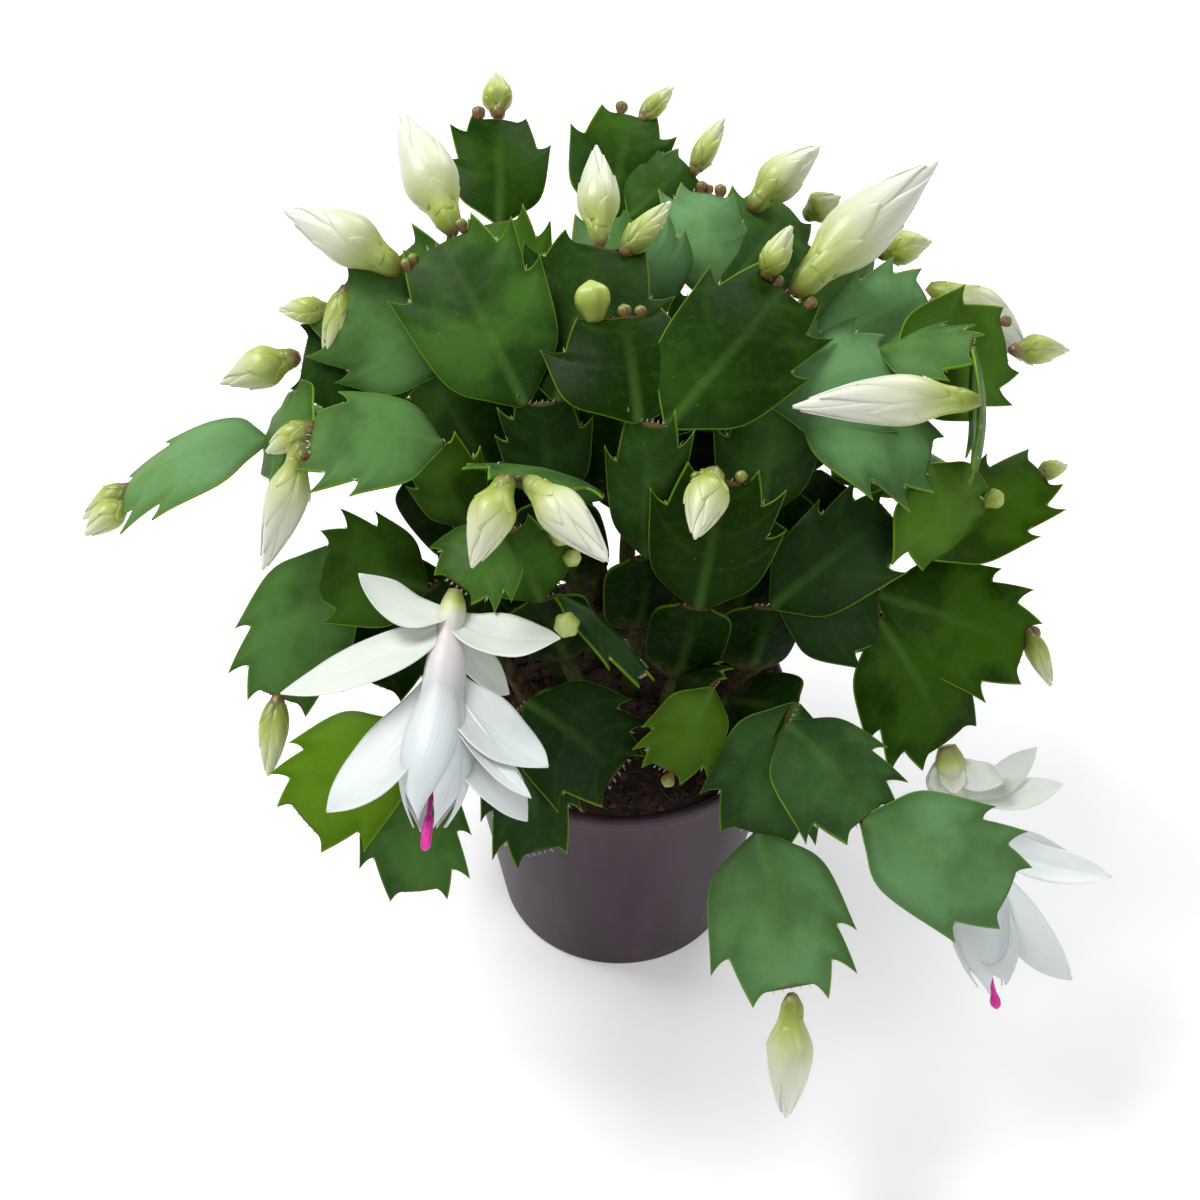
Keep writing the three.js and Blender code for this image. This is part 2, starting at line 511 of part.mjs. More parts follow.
// ---------------------------------------------------------------- pot
const floorTop = 1.5, innerRadius = (z) => POT_BOTTOM_RADIUS
  + (POT_TOP_RADIUS - 1.1 - POT_BOTTOM_RADIUS) * z / POT_HEIGHT - POT_WALL;
const potProfile = [
  [0, 0], [15, 0], [17, 1.8], [29, 1.8], [31, 0], [POT_BOTTOM_RADIUS, 0],
  [POT_TOP_RADIUS - 1.3, POT_HEIGHT - 4.5], [POT_TOP_RADIUS, POT_HEIGHT - 3.6],
  [POT_TOP_RADIUS, POT_HEIGHT - 0.8], [POT_TOP_RADIUS - 0.8, POT_HEIGHT],
  [innerRadius(POT_HEIGHT) + 0.2, POT_HEIGHT], [innerRadius(floorTop), floorTop],
  [31, floorTop], [29, floorTop + 1.8], [17, floorTop + 1.8], [15, floorTop], [0, floorTop],
];
const lathe = (profile, sides) => solid(new THREE.LatheGeometry(
  profile.map(([r, z]) => new THREE.Vector2(r, z)), sides).rotateX(Math.PI / 2));
let pot = lathe(potProfile, POT_SIDES);
for (let i = 0; i < DRAIN_HOLES; i++) {
  const a = 2 * Math.PI * (i + 0.5) / DRAIN_HOLES;
  pot = pot.subtract(solid(new THREE.CylinderGeometry(DRAIN_HOLE_RADIUS, DRAIN_HOLE_RADIUS, 12, 6)
    .rotateX(Math.PI / 2)
    .translate(DRAIN_RING_RADIUS * Math.cos(a), DRAIN_RING_RADIUS * Math.sin(a), 2)));
}
place('pot', pot, MATERIALS.pot);

// ---------------------------------------------------------------- soil: a lumpy heap with plain holes
const SOIL_SIDES = 22, rimZ = soilHeight(46.3) - 1.2;
const soilAt = (r, z, lump) => Array.from({ length: SOIL_SIDES }, (_, i) => {
  const a = 2 * Math.PI * i / SOIL_SIDES;
  const dz = lump * (draw(i, r) - 0.5);
  return vec(r * Math.cos(a), r * Math.sin(a), z + dz);
});
const soilBase = floorTop + 1.8 + SOIL_GAP;
let soil = skin([
  soilAt(innerRadius(soilBase) - SOIL_GAP - 0.35, soilBase, 0),
  soilAt(innerRadius(rimZ) - SOIL_GAP - 0.35, rimZ, 0),
  soilAt(41, soilHeight(41), 2.2),
  soilAt(27, soilHeight(27), 2.0),
  soilAt(12, soilHeight(12), 1.6),
]);
for (const rows of Object.values(STEMS)) {
  const [x, y] = rows[0][1], top = soilHeight(Math.hypot(x, y));
  soil = soil.subtract(tube([vec(x, y, top - STUB_DEPTH - FIT_GAP), vec(x, y, top + 8)],
    [STUB_RADIUS + 2 * FIT_GAP, STUB_RADIUS + 2 * FIT_GAP], STUB_SIDES));
}
place('soil', soil, MATERIALS.soil);

// ---------------------------------------------------------------- leafy stems, with their small buds
const pieces = { pot, soil };
for (const [name, rows] of Object.entries(STEMS)) {
  let stem = null;
  for (const [key] of rows) {
    const s = segments[key];
    let piece = s.foot ? foot(s) : blade(s);
    for (const [from, u, v, tip, radius] of SMALL_BUDS) {
      if (from !== key) continue;
      const start = surface(s, u - 0.03, v);
      piece = piece.add(bud(start, point(tip), radius, 5, SMALL_PROFILE));
    }
    stem = stem ? stem.add(piece) : piece;
  }
  pieces[name] = stem;
  place(name, stem, MATERIALS.stem);
}

for (const [name, from, u, v, tip, radius, extra] of LARGE_BUDS) {
  pieces[name] = bud(budSeat(segments[from], u, v, point(tip), extra), point(tip), radius);
  place(name, pieces[name], MATERIALS.bud);
}

for (const [name, flower] of Object.entries(FLOWERS)) {
  const f = flowerFrame(flower);
  const down = (t) => f.foot.clone().addScaledVector(f.along, f.length * t);
  let bloom = tube(TUBE_PROFILE.map(([t]) => down(t)), TUBE_PROFILE.map(([, r]) => r), 7);
  for (const row of flower.tepals) bloom = bloom.add(tepal(f, row));
  // the open throat that the style stands in
  bloom = bloom.subtract(tube([down(0.40), down(0.75), down(1.1)], [2.2, 6.2, 9.5], 7));
  pieces[name] = bloom;
  place(name, bloom, MATERIALS.petal);
  const style = tube([0.41, 0.7, 0.93, 0.95, 0.985, 1.0].map(down), [0.9, 0.9, 0.9, 1.9, 1.7, 0.7], 6);
  pieces[`${name}_style`] = style;
  place(`${name}_style`, style, MATERIALS.style);
}

export default group;
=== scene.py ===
# %% [markdown]
# # A christmas cactus in a small plastic pot
# The plant is a heap of flat jointed stems. Every joint is a leaf-like segment with forward teeth,
# and the segments at the ends carry bullet-shaped white buds and two open, hanging flowers.
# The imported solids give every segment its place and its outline. Here each one is replaced by a
# finer surface on the same middle surface, so that the form stays and the looks are added.

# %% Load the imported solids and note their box
import bpy
import numpy as np
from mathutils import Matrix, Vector


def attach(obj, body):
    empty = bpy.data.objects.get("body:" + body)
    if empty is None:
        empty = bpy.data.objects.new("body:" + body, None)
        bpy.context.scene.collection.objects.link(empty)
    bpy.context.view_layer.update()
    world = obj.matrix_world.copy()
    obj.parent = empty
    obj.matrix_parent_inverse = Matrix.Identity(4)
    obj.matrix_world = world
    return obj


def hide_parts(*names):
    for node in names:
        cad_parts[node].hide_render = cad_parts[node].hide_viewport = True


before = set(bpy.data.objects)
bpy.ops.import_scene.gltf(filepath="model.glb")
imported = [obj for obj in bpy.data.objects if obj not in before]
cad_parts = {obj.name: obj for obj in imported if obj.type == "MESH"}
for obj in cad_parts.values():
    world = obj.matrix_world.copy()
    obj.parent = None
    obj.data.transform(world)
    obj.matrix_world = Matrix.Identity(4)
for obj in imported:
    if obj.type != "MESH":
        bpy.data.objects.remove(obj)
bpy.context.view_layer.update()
MM = 0.001                       # every size below is in millimetres until it reaches a mesh

# %% [markdown]
# ## Camera and light
# The photograph looks down on the plant by 45 degrees with a lens of about 60 mm on a full frame.
# The world is pale, and three large soft lamps stand in for the bright room: one high on the left
# for the sheen on the segments, one from the right, and one behind for the edges.

# %% Camera at the photograph's angle
def placed(name, data):
    """A new object in the scene, made of a camera, a lamp or a mesh."""
    made = bpy.data.objects.new(name, data)
    bpy.context.scene.collection.objects.link(made)
    return made


eye = np.array([-6.0, -396.0, 520.0]) * MM
lens = bpy.data.cameras.new("camera")
lens.lens, lens.sensor_width, lens.sensor_fit = 60, 36, "HORIZONTAL"
lens.clip_start, lens.clip_end = 0.02, 20
camera = placed("camera", lens)
camera.location, camera.rotation_euler = eye, (np.radians(45), 0, 0)
bpy.context.scene.camera = camera
print("camera at", eye.tolist())

# %% Soft studio lamps and a pale world
TARGET = Vector((0, 0.02, 0.15))


def soft_lamp(name, place, size, power):
    """A square area lamp that looks at the middle of the plant."""
    lamp = bpy.data.lights.new(name, "AREA")
    lamp.shape, lamp.size, lamp.energy = "SQUARE", size, power
    holder = placed(name, lamp)
    holder.location = place
    holder.rotation_euler = (TARGET - Vector(place)).to_track_quat("-Z", "Y").to_euler()


soft_lamp("lamp_key", (-0.70, 0.25, 1.25), 0.6, 18.5)
soft_lamp("lamp_fill", (0.55, -0.95, 1.05), 0.9, 7.6)
soft_lamp("lamp_back", (0.55, 1.05, 0.95), 0.7, 9)
world = bpy.data.worlds.new("pale_room")
world.use_nodes = True
world.node_tree.nodes["Background"].inputs[0].default_value = (0.97, 0.98, 1.0, 1)
world.node_tree.nodes["Background"].inputs[1].default_value = 0.21
bpy.context.scene.world = world
bpy.context.scene.view_settings.view_transform = "Standard"

# %% [markdown]
# ## Shader maths that reads as arithmetic
# A finish is built from a handful of nodes. `Wire` wraps one output, so `1 - mask` adds the Math
# node for it, and `Finish.node` makes any other node: its settings first, then its inputs.

# %% A small wrapper for shader nodes
class Wire:
    """One output of a shader node. Arithmetic on it adds Math nodes."""

    def __init__(self, finish, socket):
        self.finish, self.socket = finish, socket

    def maths(self, operation, *values, clamp=False):
        return self.finish.node("ShaderNodeMath", {"operation": operation, "use_clamp": clamp},
                                dict(enumerate(values)))

    def __add__(self, other): return self.maths("ADD", self, other)
    def __radd__(self, other): return self.maths("ADD", other, self)
    def __sub__(self, other): return self.maths("SUBTRACT", self, other)
    def __rsub__(self, other): return self.maths("SUBTRACT", other, self)
    def __mul__(self, other): return self.maths("MULTIPLY", self, other)
    def __rmul__(self, other): return self.maths("MULTIPLY", other, self)
    def sine(self): return self.maths("SINE", self)
    def clipped(self): return self.maths("ADD", self, 0.0, clamp=True)


class Finish:
    """A material with one Principled shader, and one call for each kind of node."""

    def __init__(self, name, **constants):
        self.material = bpy.data.materials.new(name)
        self.material.use_nodes = True
        self.tree = self.material.node_tree
        self.shader = self.tree.nodes["Principled BSDF"]
        for socket, value in constants.items():
            self.shader.inputs[socket.replace("_", " ")].default_value = value

    def node(self, kind, settings=None, inputs=None, out=0):
        made = self.tree.nodes.new(kind)
        for key, value in (settings or {}).items():
            if key == "stops":
                ramp = made.color_ramp
                while len(ramp.elements) < len(value):
                    ramp.elements.new(1.0)
                for stop, (place, colour) in zip(ramp.elements, value):
                    stop.position, stop.color = place, (*colour, 1)
            else:
                setattr(made, key, value)
        for key, value in (inputs or {}).items():
            if isinstance(value, Wire):
                self.tree.links.new(value.socket, made.inputs[key])
            elif isinstance(value, (tuple, list)) and made.inputs[key].type == "RGBA":
                made.inputs[key].default_value = (*value, 1)
            else:
                made.inputs[key].default_value = value
        return Wire(self, made.outputs[out])

    def set(self, **sockets):
        for key, wire in sockets.items():
            self.tree.links.new(wire.socket, self.shader.inputs[key.replace("_", " ")])

    def place(self, scale=(1, 1, 1)):
        """Object coordinates, which are metres in the shared frame, times a scale."""
        where = self.node("ShaderNodeTexCoord", out="Object")
        return self.node("ShaderNodeVectorMath", {"operation": "MULTIPLY"}, {0: where, 1: scale})

    def noise(self, scale, detail=3.0, rough=0.5, where=None):
        return self.node("ShaderNodeTexNoise", None, {
            "Vector": where or self.place(), "Scale": scale, "Detail": detail, "Roughness": rough})

    def reading(self, name):
        """A number stored on the mesh's points."""
        return self.node("ShaderNodeAttribute", {"attribute_name": name}, out="Fac")

    def fade(self, wire, low, high, to_low=0.0, to_high=1.0):
        """Smooth step of a value from one range to another."""
        return self.node("ShaderNodeMapRange", {"interpolation_type": "SMOOTHSTEP"}, {
            "Value": wire, "From Min": low, "From Max": high, "To Min": to_low, "To Max": to_high})

    def blend(self, a, b, factor):
        return self.node("ShaderNodeMix", {"data_type": "RGBA"}, {0: factor, 6: a, 7: b}, out=2)

    def layers(self, colour, *coats):
        """Lays coats over a colour. Each is its own colour and the share of it that shows."""
        for coat, share in coats:
            colour = self.blend(colour, coat, share)
        return colour

    def ramp(self, wire, stops):
        return self.node("ShaderNodeValToRGB", {"stops": stops}, {0: wire})

    def bump(self, height, strength, distance):
        return self.node("ShaderNodeBump", None, {
            "Height": height, "Strength": strength, "Distance": distance})

# %% [markdown]
# ## Finishes
# A segment is waxy: dark green with cloudy paler areas, a paler midrib, faint veins towards the
# teeth and a thin lime margin. The mesh stores how far each point is from the margin and from the
# midrib, so these marks follow the segment however it is turned. Painted shade darkens each segment
# towards its foot and its margin. The mesh also stores a tone for each segment, pale on young
# growth and nearly black on old, and a painted sheen: a pale blue-grey in cloudy patches that
# stands in for the bright room's reflection. Painted shade lowers both towards the middle of the
# plant.

# %% Green segments, with bark where a stem has turned woody
def leaf_finish():
    """Cloudy green with the segment's marks laid over it, then bark and the scars at the joints."""
    f = Finish("green_segment", Coat_Roughness=0.25, IOR=1.45, Specular_IOR_Level=0.03)
    cloud, fine, speck = f.noise(45, 4, 0.55), f.noise(420, 3, 0.6), f.noise(1500, 2, 0.6)
    tone, wax, wood, scar = (f.reading(n) for n in ("tone", "wax", "wood", "scar"))
    edge, rib, along, vein = (f.reading(n) for n in ("edge", "rib", "along", "vein"))
    shade = (1 - f.fade(edge, 0.3, 5.0)) * 0.26 + (1 - f.fade(along, 0.0, 0.40)) * 0.34
    margin = (1 - f.fade(edge, 0.06, 0.42)) * f.fade(cloud, 0.3, 0.6, 0.45, 0.80)
    green = f.layers(
        (0.011, 0.038, 0.001),
        ((0.040, 0.108, 0.004), f.fade(cloud, 0.38, 0.62)),
        ((0.125, 0.250, 0.012), (tone - 0.35).clipped() * 1.2),
        ((0.004, 0.016, 0.001), (0.35 - tone).clipped() * 2.9),
        # painted sheen: pale blue-grey cloudy patches that stand in for the bright room's
        # reflection
        ((0.135, 0.280, 0.118), wax * f.fade(cloud, 0.3, 0.7, 0.40, 0.95)),
        ((0.060, 0.140, 0.010), f.fade(fine, 0.45, 0.75) * 0.12),
        ((0.006, 0.026, 0.001), shade),
        ((0.105, 0.225, 0.040), (1 - f.fade(rib, 0.2, 2.2)) * (0.95 - along) * 0.32),
        ((0.080, 0.180, 0.020), vein * 0.13),
        ((0.185, 0.330, 0.018), margin * f.fade(tone, -0.3, 0.2, 0.4, 1.0)),
        ((0.290, 0.330, 0.160), f.fade(speck, 0.70, 0.76) * 0.35))
    bark = f.layers(
        (0.034, 0.024, 0.011),
        ((0.105, 0.076, 0.038), f.fade(f.noise(260, 4, 0.6), 0.35, 0.7)),
        ((0.048, 0.070, 0.014), f.fade(cloud, 0.45, 0.62) * 0.7))
    grain = (fine - 0.5) * 0.5
    colour = f.layers(
        green, (bark, f.fade(wood + grain, 0.35, 0.75)),
        ((0.120, 0.070, 0.030), f.fade(scar + grain, 0.45, 0.85) * 0.6))
    rough_bark = wood * f.noise(700, 4, 0.7) * 1.5
    f.set(Base_Color=colour,
          Roughness=0.40 + f.fade(cloud, 0.3, 0.7) * 0.12 + wax * 0.06 + wood * 0.25 + scar * 0.2,
          Coat_Weight=(0.025 - wood * 0.025 - scar * 0.02).clipped(),
          Normal=f.bump(cloud * 0.9 + fine * 0.20 + vein * 0.18 + rough_bark, 0.42, 0.0012))
    return f.material


GREEN = leaf_finish()
print("finish:", GREEN.name, len(GREEN.node_tree.nodes), "nodes")

# %% Buds and flowers
def bud_finish():
    """Red-brown at the foot, lime over the lower third, ivory at the tip; pleats run along it."""
    f = Finish("bud_scales", Subsurface_Weight=0.12, Subsurface_Radius=(0.004, 0.004, 0.002),
               Coat_Roughness=0.3, Subsurface_Scale=1.0)
    along, rim, ripe = f.reading("along"), f.reading("edge"), f.reading("ripe")
    fine, cloud = f.noise(900, 3, 0.55), f.noise(110, 3, 0.5)
    reach = along * (0.46 + ripe * 0.72) + ripe * 0.055 + (cloud - 0.5) * 0.07
    colour = f.ramp(reach, [
        (0.00, (0.150, 0.050, 0.020)), (0.05, (0.150, 0.110, 0.024)), (0.09, (0.180, 0.220, 0.022)),
        (0.18, (0.270, 0.345, 0.040)), (0.30, (0.420, 0.500, 0.115)), (0.44, (0.560, 0.620, 0.300)),
        (0.60, (0.630, 0.670, 0.450)), (1.00, (0.690, 0.705, 0.610))])
    colour = f.blend(colour, (0.740, 0.780, 0.500), (1 - f.fade(rim, 0.0, 0.55)) * 0.35)
    colour = f.blend(colour, (0.640, 0.540, 0.450), f.fade(cloud, 0.55, 0.8) * ripe * 0.24)
    pleats = (f.reading("across") * 26.0).sine()
    f.set(Base_Color=colour, Roughness=0.40 + fine * 0.12,
          Coat_Weight=0.12 + (1 - along) * 0.10,
          Normal=f.bump(pleats * 0.07 + fine * 0.3 + cloud, 0.22, 0.0008))
    return f.material


def petal_finish():
    """White with a cool shade, rosy where the tepals join the tube, olive at the very foot.

    A whiteness reading whitens the bell and tube, and the right flower's tepals, where it is
    painted light against the shade they hang in. `cream` warms the short outer tepals."""
    f = Finish("white_tepal", Subsurface_Weight=0.22, Subsurface_Radius=(0.006, 0.005, 0.005),
               Subsurface_Scale=1.0, Coat_Roughness=0.35)
    along, rim = f.reading("along"), f.reading("edge")
    milk, cream = f.reading("milk"), f.reading("cream")
    fine, cloud = f.noise(1300, 4, 0.6), f.noise(85, 3, 0.5)
    colour = f.ramp(along, [
        (0.00, (0.200, 0.190, 0.040)), (0.08, (0.300, 0.350, 0.070)), (0.14, (0.520, 0.570, 0.220)),
        (0.20, (0.640, 0.650, 0.540)), (0.36, (0.680, 0.590, 0.620)), (0.48, (0.600, 0.620, 0.610)),
        (1.00, (0.560, 0.615, 0.595))])
    # whiter by the whiteness reading: the bell's and tube's own white, and painted light on the
    # right flower's tepals
    colour = f.blend(colour, (0.720, 0.770, 0.780), milk * f.fade(along, 0.30, 0.55))
    colour = f.blend(colour, (0.660, 0.710, 0.620), cream * f.fade(along, 0.22, 0.45) * 0.85)
    shadow = f.fade(cloud, 0.42, 0.75) * (0.45 - milk * 0.35 - cream * 0.3)
    colour = f.blend(colour, (0.380, 0.420, 0.440), shadow)
    colour = f.blend(colour, (0.700, 0.740, 0.730), (1 - f.fade(rim, 0.0, 0.8)) * 0.35)
    veins = (f.reading("across") * 44.0).sine()
    f.set(Base_Color=colour, Roughness=0.42 + fine * 0.14, Coat_Weight=0.06 + cloud * 0.08,
          Normal=f.bump(veins * 0.10 + fine * 0.45, 0.20, 0.0006))
    return f.material


def style_finish():
    """Magenta, a little deeper along the grooves of its head."""
    f = Finish("magenta_style", Subsurface_Weight=0.1, Coat_Roughness=0.25)
    fine = f.noise(1100, 3, 0.6)
    f.set(Base_Color=f.blend((0.620, 0.000, 0.250), (0.830, 0.020, 0.420), f.fade(fine, 0.3, 0.7)),
          Roughness=0.30 + fine * 0.2, Coat_Weight=0.2 + fine * 0.1,
          Normal=f.bump(fine, 0.3, 0.0006))
    return f.material


BUD, PETAL, STYLE = bud_finish(), petal_finish(), style_finish()
print("finishes:", BUD.name, PETAL.name, STYLE.name)

# %% Pot and peat
def pot_finish():
    """Thin dark mauve-brown plastic, faint upright streaks, dust low down and at the rim."""
    f = Finish("pot_plastic", IOR=1.46, Coat_Roughness=0.3, Specular_IOR_Level=0.18)
    streak = f.noise(60, 3, 0.5, where=f.place((1, 1, 0.05)))
    fine, dust = f.noise(1600, 3, 0.6), f.noise(70, 5, 0.65)
    height = f.node("ShaderNodeSeparateXYZ", None, {0: f.place()}, out="Z")
    colour = f.blend((0.036, 0.019, 0.031), (0.058, 0.035, 0.051), f.fade(streak, 0.35, 0.7))
    rim_dirt = f.fade(height, 0.070, 0.088) * f.fade(dust, 0.42, 0.66)
    colour = f.blend(colour, (0.090, 0.062, 0.045), rim_dirt * 0.55)
    low_dust = (1 - f.fade(height, 0.0, 0.016)) * f.fade(dust, 0.5, 0.8) * 0.5
    colour = f.blend(colour, (0.150, 0.135, 0.130), low_dust)
    f.set(Base_Color=colour, Roughness=0.36 + fine * 0.10 + dust * 0.10,
          Coat_Weight=(0.05 - rim_dirt * 0.05).clipped(),
          Normal=f.bump(streak * 0.5 + fine * 0.25, 0.18, 0.0006))
    return f.material


def peat_finish():
    """Nearly black peat with redder fibres and a few pale crumbs."""
    f = Finish("peat", IOR=1.4)
    crumb, fine, fibre = f.noise(330, 5, 0.65), f.noise(1400, 3, 0.6), f.reading("fibre")
    colour = f.blend((0.005, 0.003, 0.002), (0.030, 0.016, 0.010), f.fade(crumb, 0.35, 0.72))
    colour = f.blend(colour, (0.085, 0.050, 0.032), f.fade(fine, 0.62, 0.8) * 0.4)
    colour = f.blend(colour, (0.105, 0.046, 0.022), fibre * f.fade(crumb, 0.2, 0.7, 0.45, 1.0))
    f.set(Base_Color=colour, Roughness=0.80 + fine * 0.18,
          Normal=f.bump(crumb + fine * 0.4, 0.8, 0.002))
    return f.material


POT, PEAT = pot_finish(), peat_finish()
print("finishes:", POT.name, PEAT.name)

# %% [markdown]
# ## Meshes from arrays
# Every piece is gathered in a `Heap`: grids of points worked out with numpy, the faces between
# them, and the numbers that the finishes read. Two helpers close a form: `shell` sews a front and
# a back sheet together round their border, and `spindle` fans over both ends of a row of rings.

# %% Gather grids into one closed mesh
NO_EDGE = 9.0                    # a distance to the margin, in mm, for points that lie near none


class Heap:
    """Points, faces and readings of one piece, gathered part by part."""

    def __init__(self):
        self.points, self.quads, self.tris, self.readings, self.count = [], [], [], {}, 0

    def add(self, points, quads, tris=None, **readings):
        """Adds a part. A reading is a number or one number a point, and 0 where it isn't given."""
        for key in sorted({*self.readings, *readings}):
            past = self.readings.setdefault(key, [np.zeros(self.count)])
            value = np.ravel(readings.get(key, 0.0)).astype(float)
            past.append(np.broadcast_to(value, len(points)))
        self.points.append(points)
        self.quads.append(quads + self.count)
        if tris is not None:
            self.tris.append(tris + self.count)
        self.count += len(points)

    def add_sheet(self, front, back, **readings):
        """Adds two sheets sewn together. A reading is a grid or a number, the same on both."""
        self.add(*shell(front, back), **{
            key: np.tile(np.broadcast_to(value, front.shape[:2]).ravel(), 2)
            for key, value in readings.items()})

    def mesh(self, name):
        """All that was added as one mesh, in metres."""
        mesh = bpy.data.meshes.new(name)
        faces = np.concatenate(self.quads).tolist()
        if self.tris:
            faces += np.concatenate(self.tris).tolist()
        mesh.from_pydata((np.concatenate(self.points) * MM).tolist(), [], faces)
        return mesh

    def build(self, name, finish, body="root", replaces=None, slot=None):
        """Makes the smooth-shaded piece, with its readings as point attributes."""
        mesh = self.mesh(name)
        mesh.polygons.foreach_set("use_smooth", np.ones(len(mesh.polygons), bool))
        for key, parts in self.readings.items():
            layer = mesh.attributes.new(key, "FLOAT", "POINT")
            layer.data.foreach_set("value", np.concatenate(parts).astype(np.float32))
        mesh.materials.append(finish)
        mesh.update()
        piece = placed(name, mesh)
        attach(piece, body)
        if replaces:
            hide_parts(replaces)
        return piece


def lattice(rows, columns, wrap=False):
    """Quads between neighbouring points of a grid, counted row by row."""
    steps = columns if wrap else columns - 1
    i, j = np.meshgrid(np.arange(rows - 1), np.arange(steps), indexing="ij")
    k = (j + 1) % columns
    return np.stack([i * columns + j, i * columns + k, (i + 1) * columns + k,
                     (i + 1) * columns + j], -1).reshape(-1, 4)


def outward(points, quads, tris=None):
    """Turns every face round if the closed form's signed volume is negative."""
    a, b, c, d = (points[quads[:, k]] for k in range(4))
    volume = np.einsum("ij,ij->", a, np.cross(b, c)) + np.einsum("ij,ij->", a, np.cross(c, d))
    if volume < 0:
        quads, tris = quads[:, ::-1], (None if tris is None else tris[:, ::-1])
    return points, quads, tris


def shell(front, back):
    """Two sheets of rows x columns points, sewn together round their shared border."""
    rows, columns = front.shape[:2]
    n, grid = rows * columns, lattice(rows, columns)
    ids = np.arange(n).reshape(rows, columns)
    rim = np.concatenate([ids[0, :-1], ids[:-1, -1], ids[-1, :0:-1], ids[:0:-1, 0]])
    nxt = np.roll(rim, -1)
    sewn = np.stack([nxt, rim, rim + n, nxt + n], -1)
    points = np.concatenate([front.reshape(-1, 3), back.reshape(-1, 3)])
    return outward(points, np.concatenate([grid, grid[:, ::-1] + n, sewn]))[:2]


def spindle(rings):
    """Rings of equal count along a path, closed by a fan over the first and the last."""
    rows, around = rings.shape[:2]
    quads = lattice(rows, around, wrap=True)
    points = np.concatenate([rings.reshape(-1, 3), rings[[0, -1]].mean(1)])
    i = np.arange(around)
    k, top = (i + 1) % around, (rows - 1) * around
    tris = np.concatenate([np.stack([np.full(around, rows * around), k, i], -1),
                           np.stack([np.full(around, rows * around + 1), top + i, top + k], -1)])
    return outward(points, quads, tris)


def unit(v):
    """A vector, or rows of vectors, at length one."""
    v = np.asarray(v, float)
    return v / np.maximum(np.linalg.norm(v, axis=-1, keepdims=True), 1e-9)


def circle(count):
    """Angles spread evenly over a full turn."""
    return np.linspace(0, 2 * np.pi, count, endpoint=False)


def spoke(u, w, angle):
    """The way out from an axis: u cos a + w sin a."""
    angle = np.asarray(angle, float)[..., None]
    return u * np.cos(angle) + w * np.sin(angle)


def flow(stops, t):
    """A smooth cubic curve through (place, value) stops. Its slopes follow the neighbours."""
    x, y = np.array(stops, float).T
    m = np.gradient(y, x)
    t = np.clip(t, x[0], x[-1])
    k = np.clip(np.searchsorted(x, t, side="right") - 1, 0, len(x) - 2)
    h = x[k + 1] - x[k]
    f = (t - x[k]) / h
    return ((2 * f**3 - 3 * f**2 + 1) * y[k] + (f**3 - 2 * f**2 + f) * h * m[k]
            + (3 * f**2 - 2 * f**3) * y[k + 1] + (f**3 - f**2) * h * m[k + 1])


def tube(path, radii, around, ripple=0.0):
    """Rings round a path: centre + r(1 + ripple cos 5a) (u cos a + w sin a)."""
    path = np.asarray(path, float)
    way = unit(np.gradient(path, axis=0))
    ref = np.array([0, 0, 1.0]) if abs(way[0, 2]) < 0.9 else np.array([1.0, 0, 0])
    across = np.cross(ref, way[0])
    u = unit(across - (way @ across)[:, None] * way)
    w = np.cross(way, u)
    a = circle(around)
    r = np.asarray(radii, float)[:, None] * (1 + ripple * np.cos(5 * a))
    return path[:, None] + r[..., None] * spoke(u[:, None], w[:, None], a)


def draw(a, b):
    """A repeatable draw in 0..1 from two numbers."""
    v = np.sin(a * 12.9898 + b * 78.233) * 43758.5453
    return v - np.floor(v)

LAP = 6.28                       # a drawn phase is a share of this, which is nearly a full turn
print("helpers ready")

# %% [markdown]
# ## The pot
# A thrown-away nursery pot: a thin tapered wall, a rolled rim and a foot ring with drain holes. It
# is a profile turned round the axis. The holes are the one thing that a turned surface can't have,
# so six small cylinders cut them with a Boolean modifier, which is applied at once.

# %% Turn the pot's profile and cut its drain holes
POT_TOP, POT_FOOT, POT_HEIGHT, POT_WALL = 49.0, 36.5, 86.0, 1.3      # two radii, height, thickness
POT_SIDES = 144
DRAINS, DRAIN_CIRCLE, DRAIN_RADIUS = 6, 23, 3.2


def inner_radius(z):
    """Radius of the inside of the wall at height z: a straight taper, less the wall."""
    return POT_FOOT + (POT_TOP - 1.1 - POT_FOOT) * z / POT_HEIGHT - POT_WALL


def turned(profile, sides):
    """Points (radius, height) turned round the axis: x = r cos a, y = r sin a."""
    r, z = np.array(profile, float).T[..., None]
    a = circle(sides)
    return np.stack([r * np.cos(a), r * np.sin(a), z + 0 * a], -1)


def soften(profile, reach=0.6):
    """Puts two points near each corner of a profile, so that smooth shading rounds it alone."""
    p = np.array(profile, float)
    d = np.diff(p, axis=0)
    size = np.linalg.norm(d, axis=1, keepdims=True)
    step = d / size * np.minimum(reach, size * 0.3)
    return np.concatenate([p[:1]] + [np.stack([p[i] - step[i - 1], p[i], p[i] + step[i]])
                                     for i in range(1, len(p) - 1)] + [p[-1:]])


pot_profile = [[0.6, 0], [15, 0], [17, 1.8], [29, 1.8], [31, 0], [35.3, 0], [36.3, 0.5],
               [36.7, 1.6], [42.4, 43], [POT_TOP - 1.3, POT_HEIGHT - 4.5],
               [POT_TOP - 0.3, POT_HEIGHT - 3.9],
               [POT_TOP, POT_HEIGHT - 3.3], [POT_TOP, POT_HEIGHT - 0.9],
               [POT_TOP - 0.5, POT_HEIGHT - 0.1], [POT_TOP - 1.1, POT_HEIGHT],
               [inner_radius(86) + 0.2, POT_HEIGHT - 0.2], [inner_radius(40), 40],
               [inner_radius(1.5), 1.5], [31, 1.5], [29, 3.3], [17, 3.3], [15, 1.5], [0.6, 1.5]]
pot = Heap()
pot.add(*spindle(turned(soften(pot_profile), POT_SIDES)))
pot = pot.build("pot_wall", POT, replaces="pot", slot="pot")
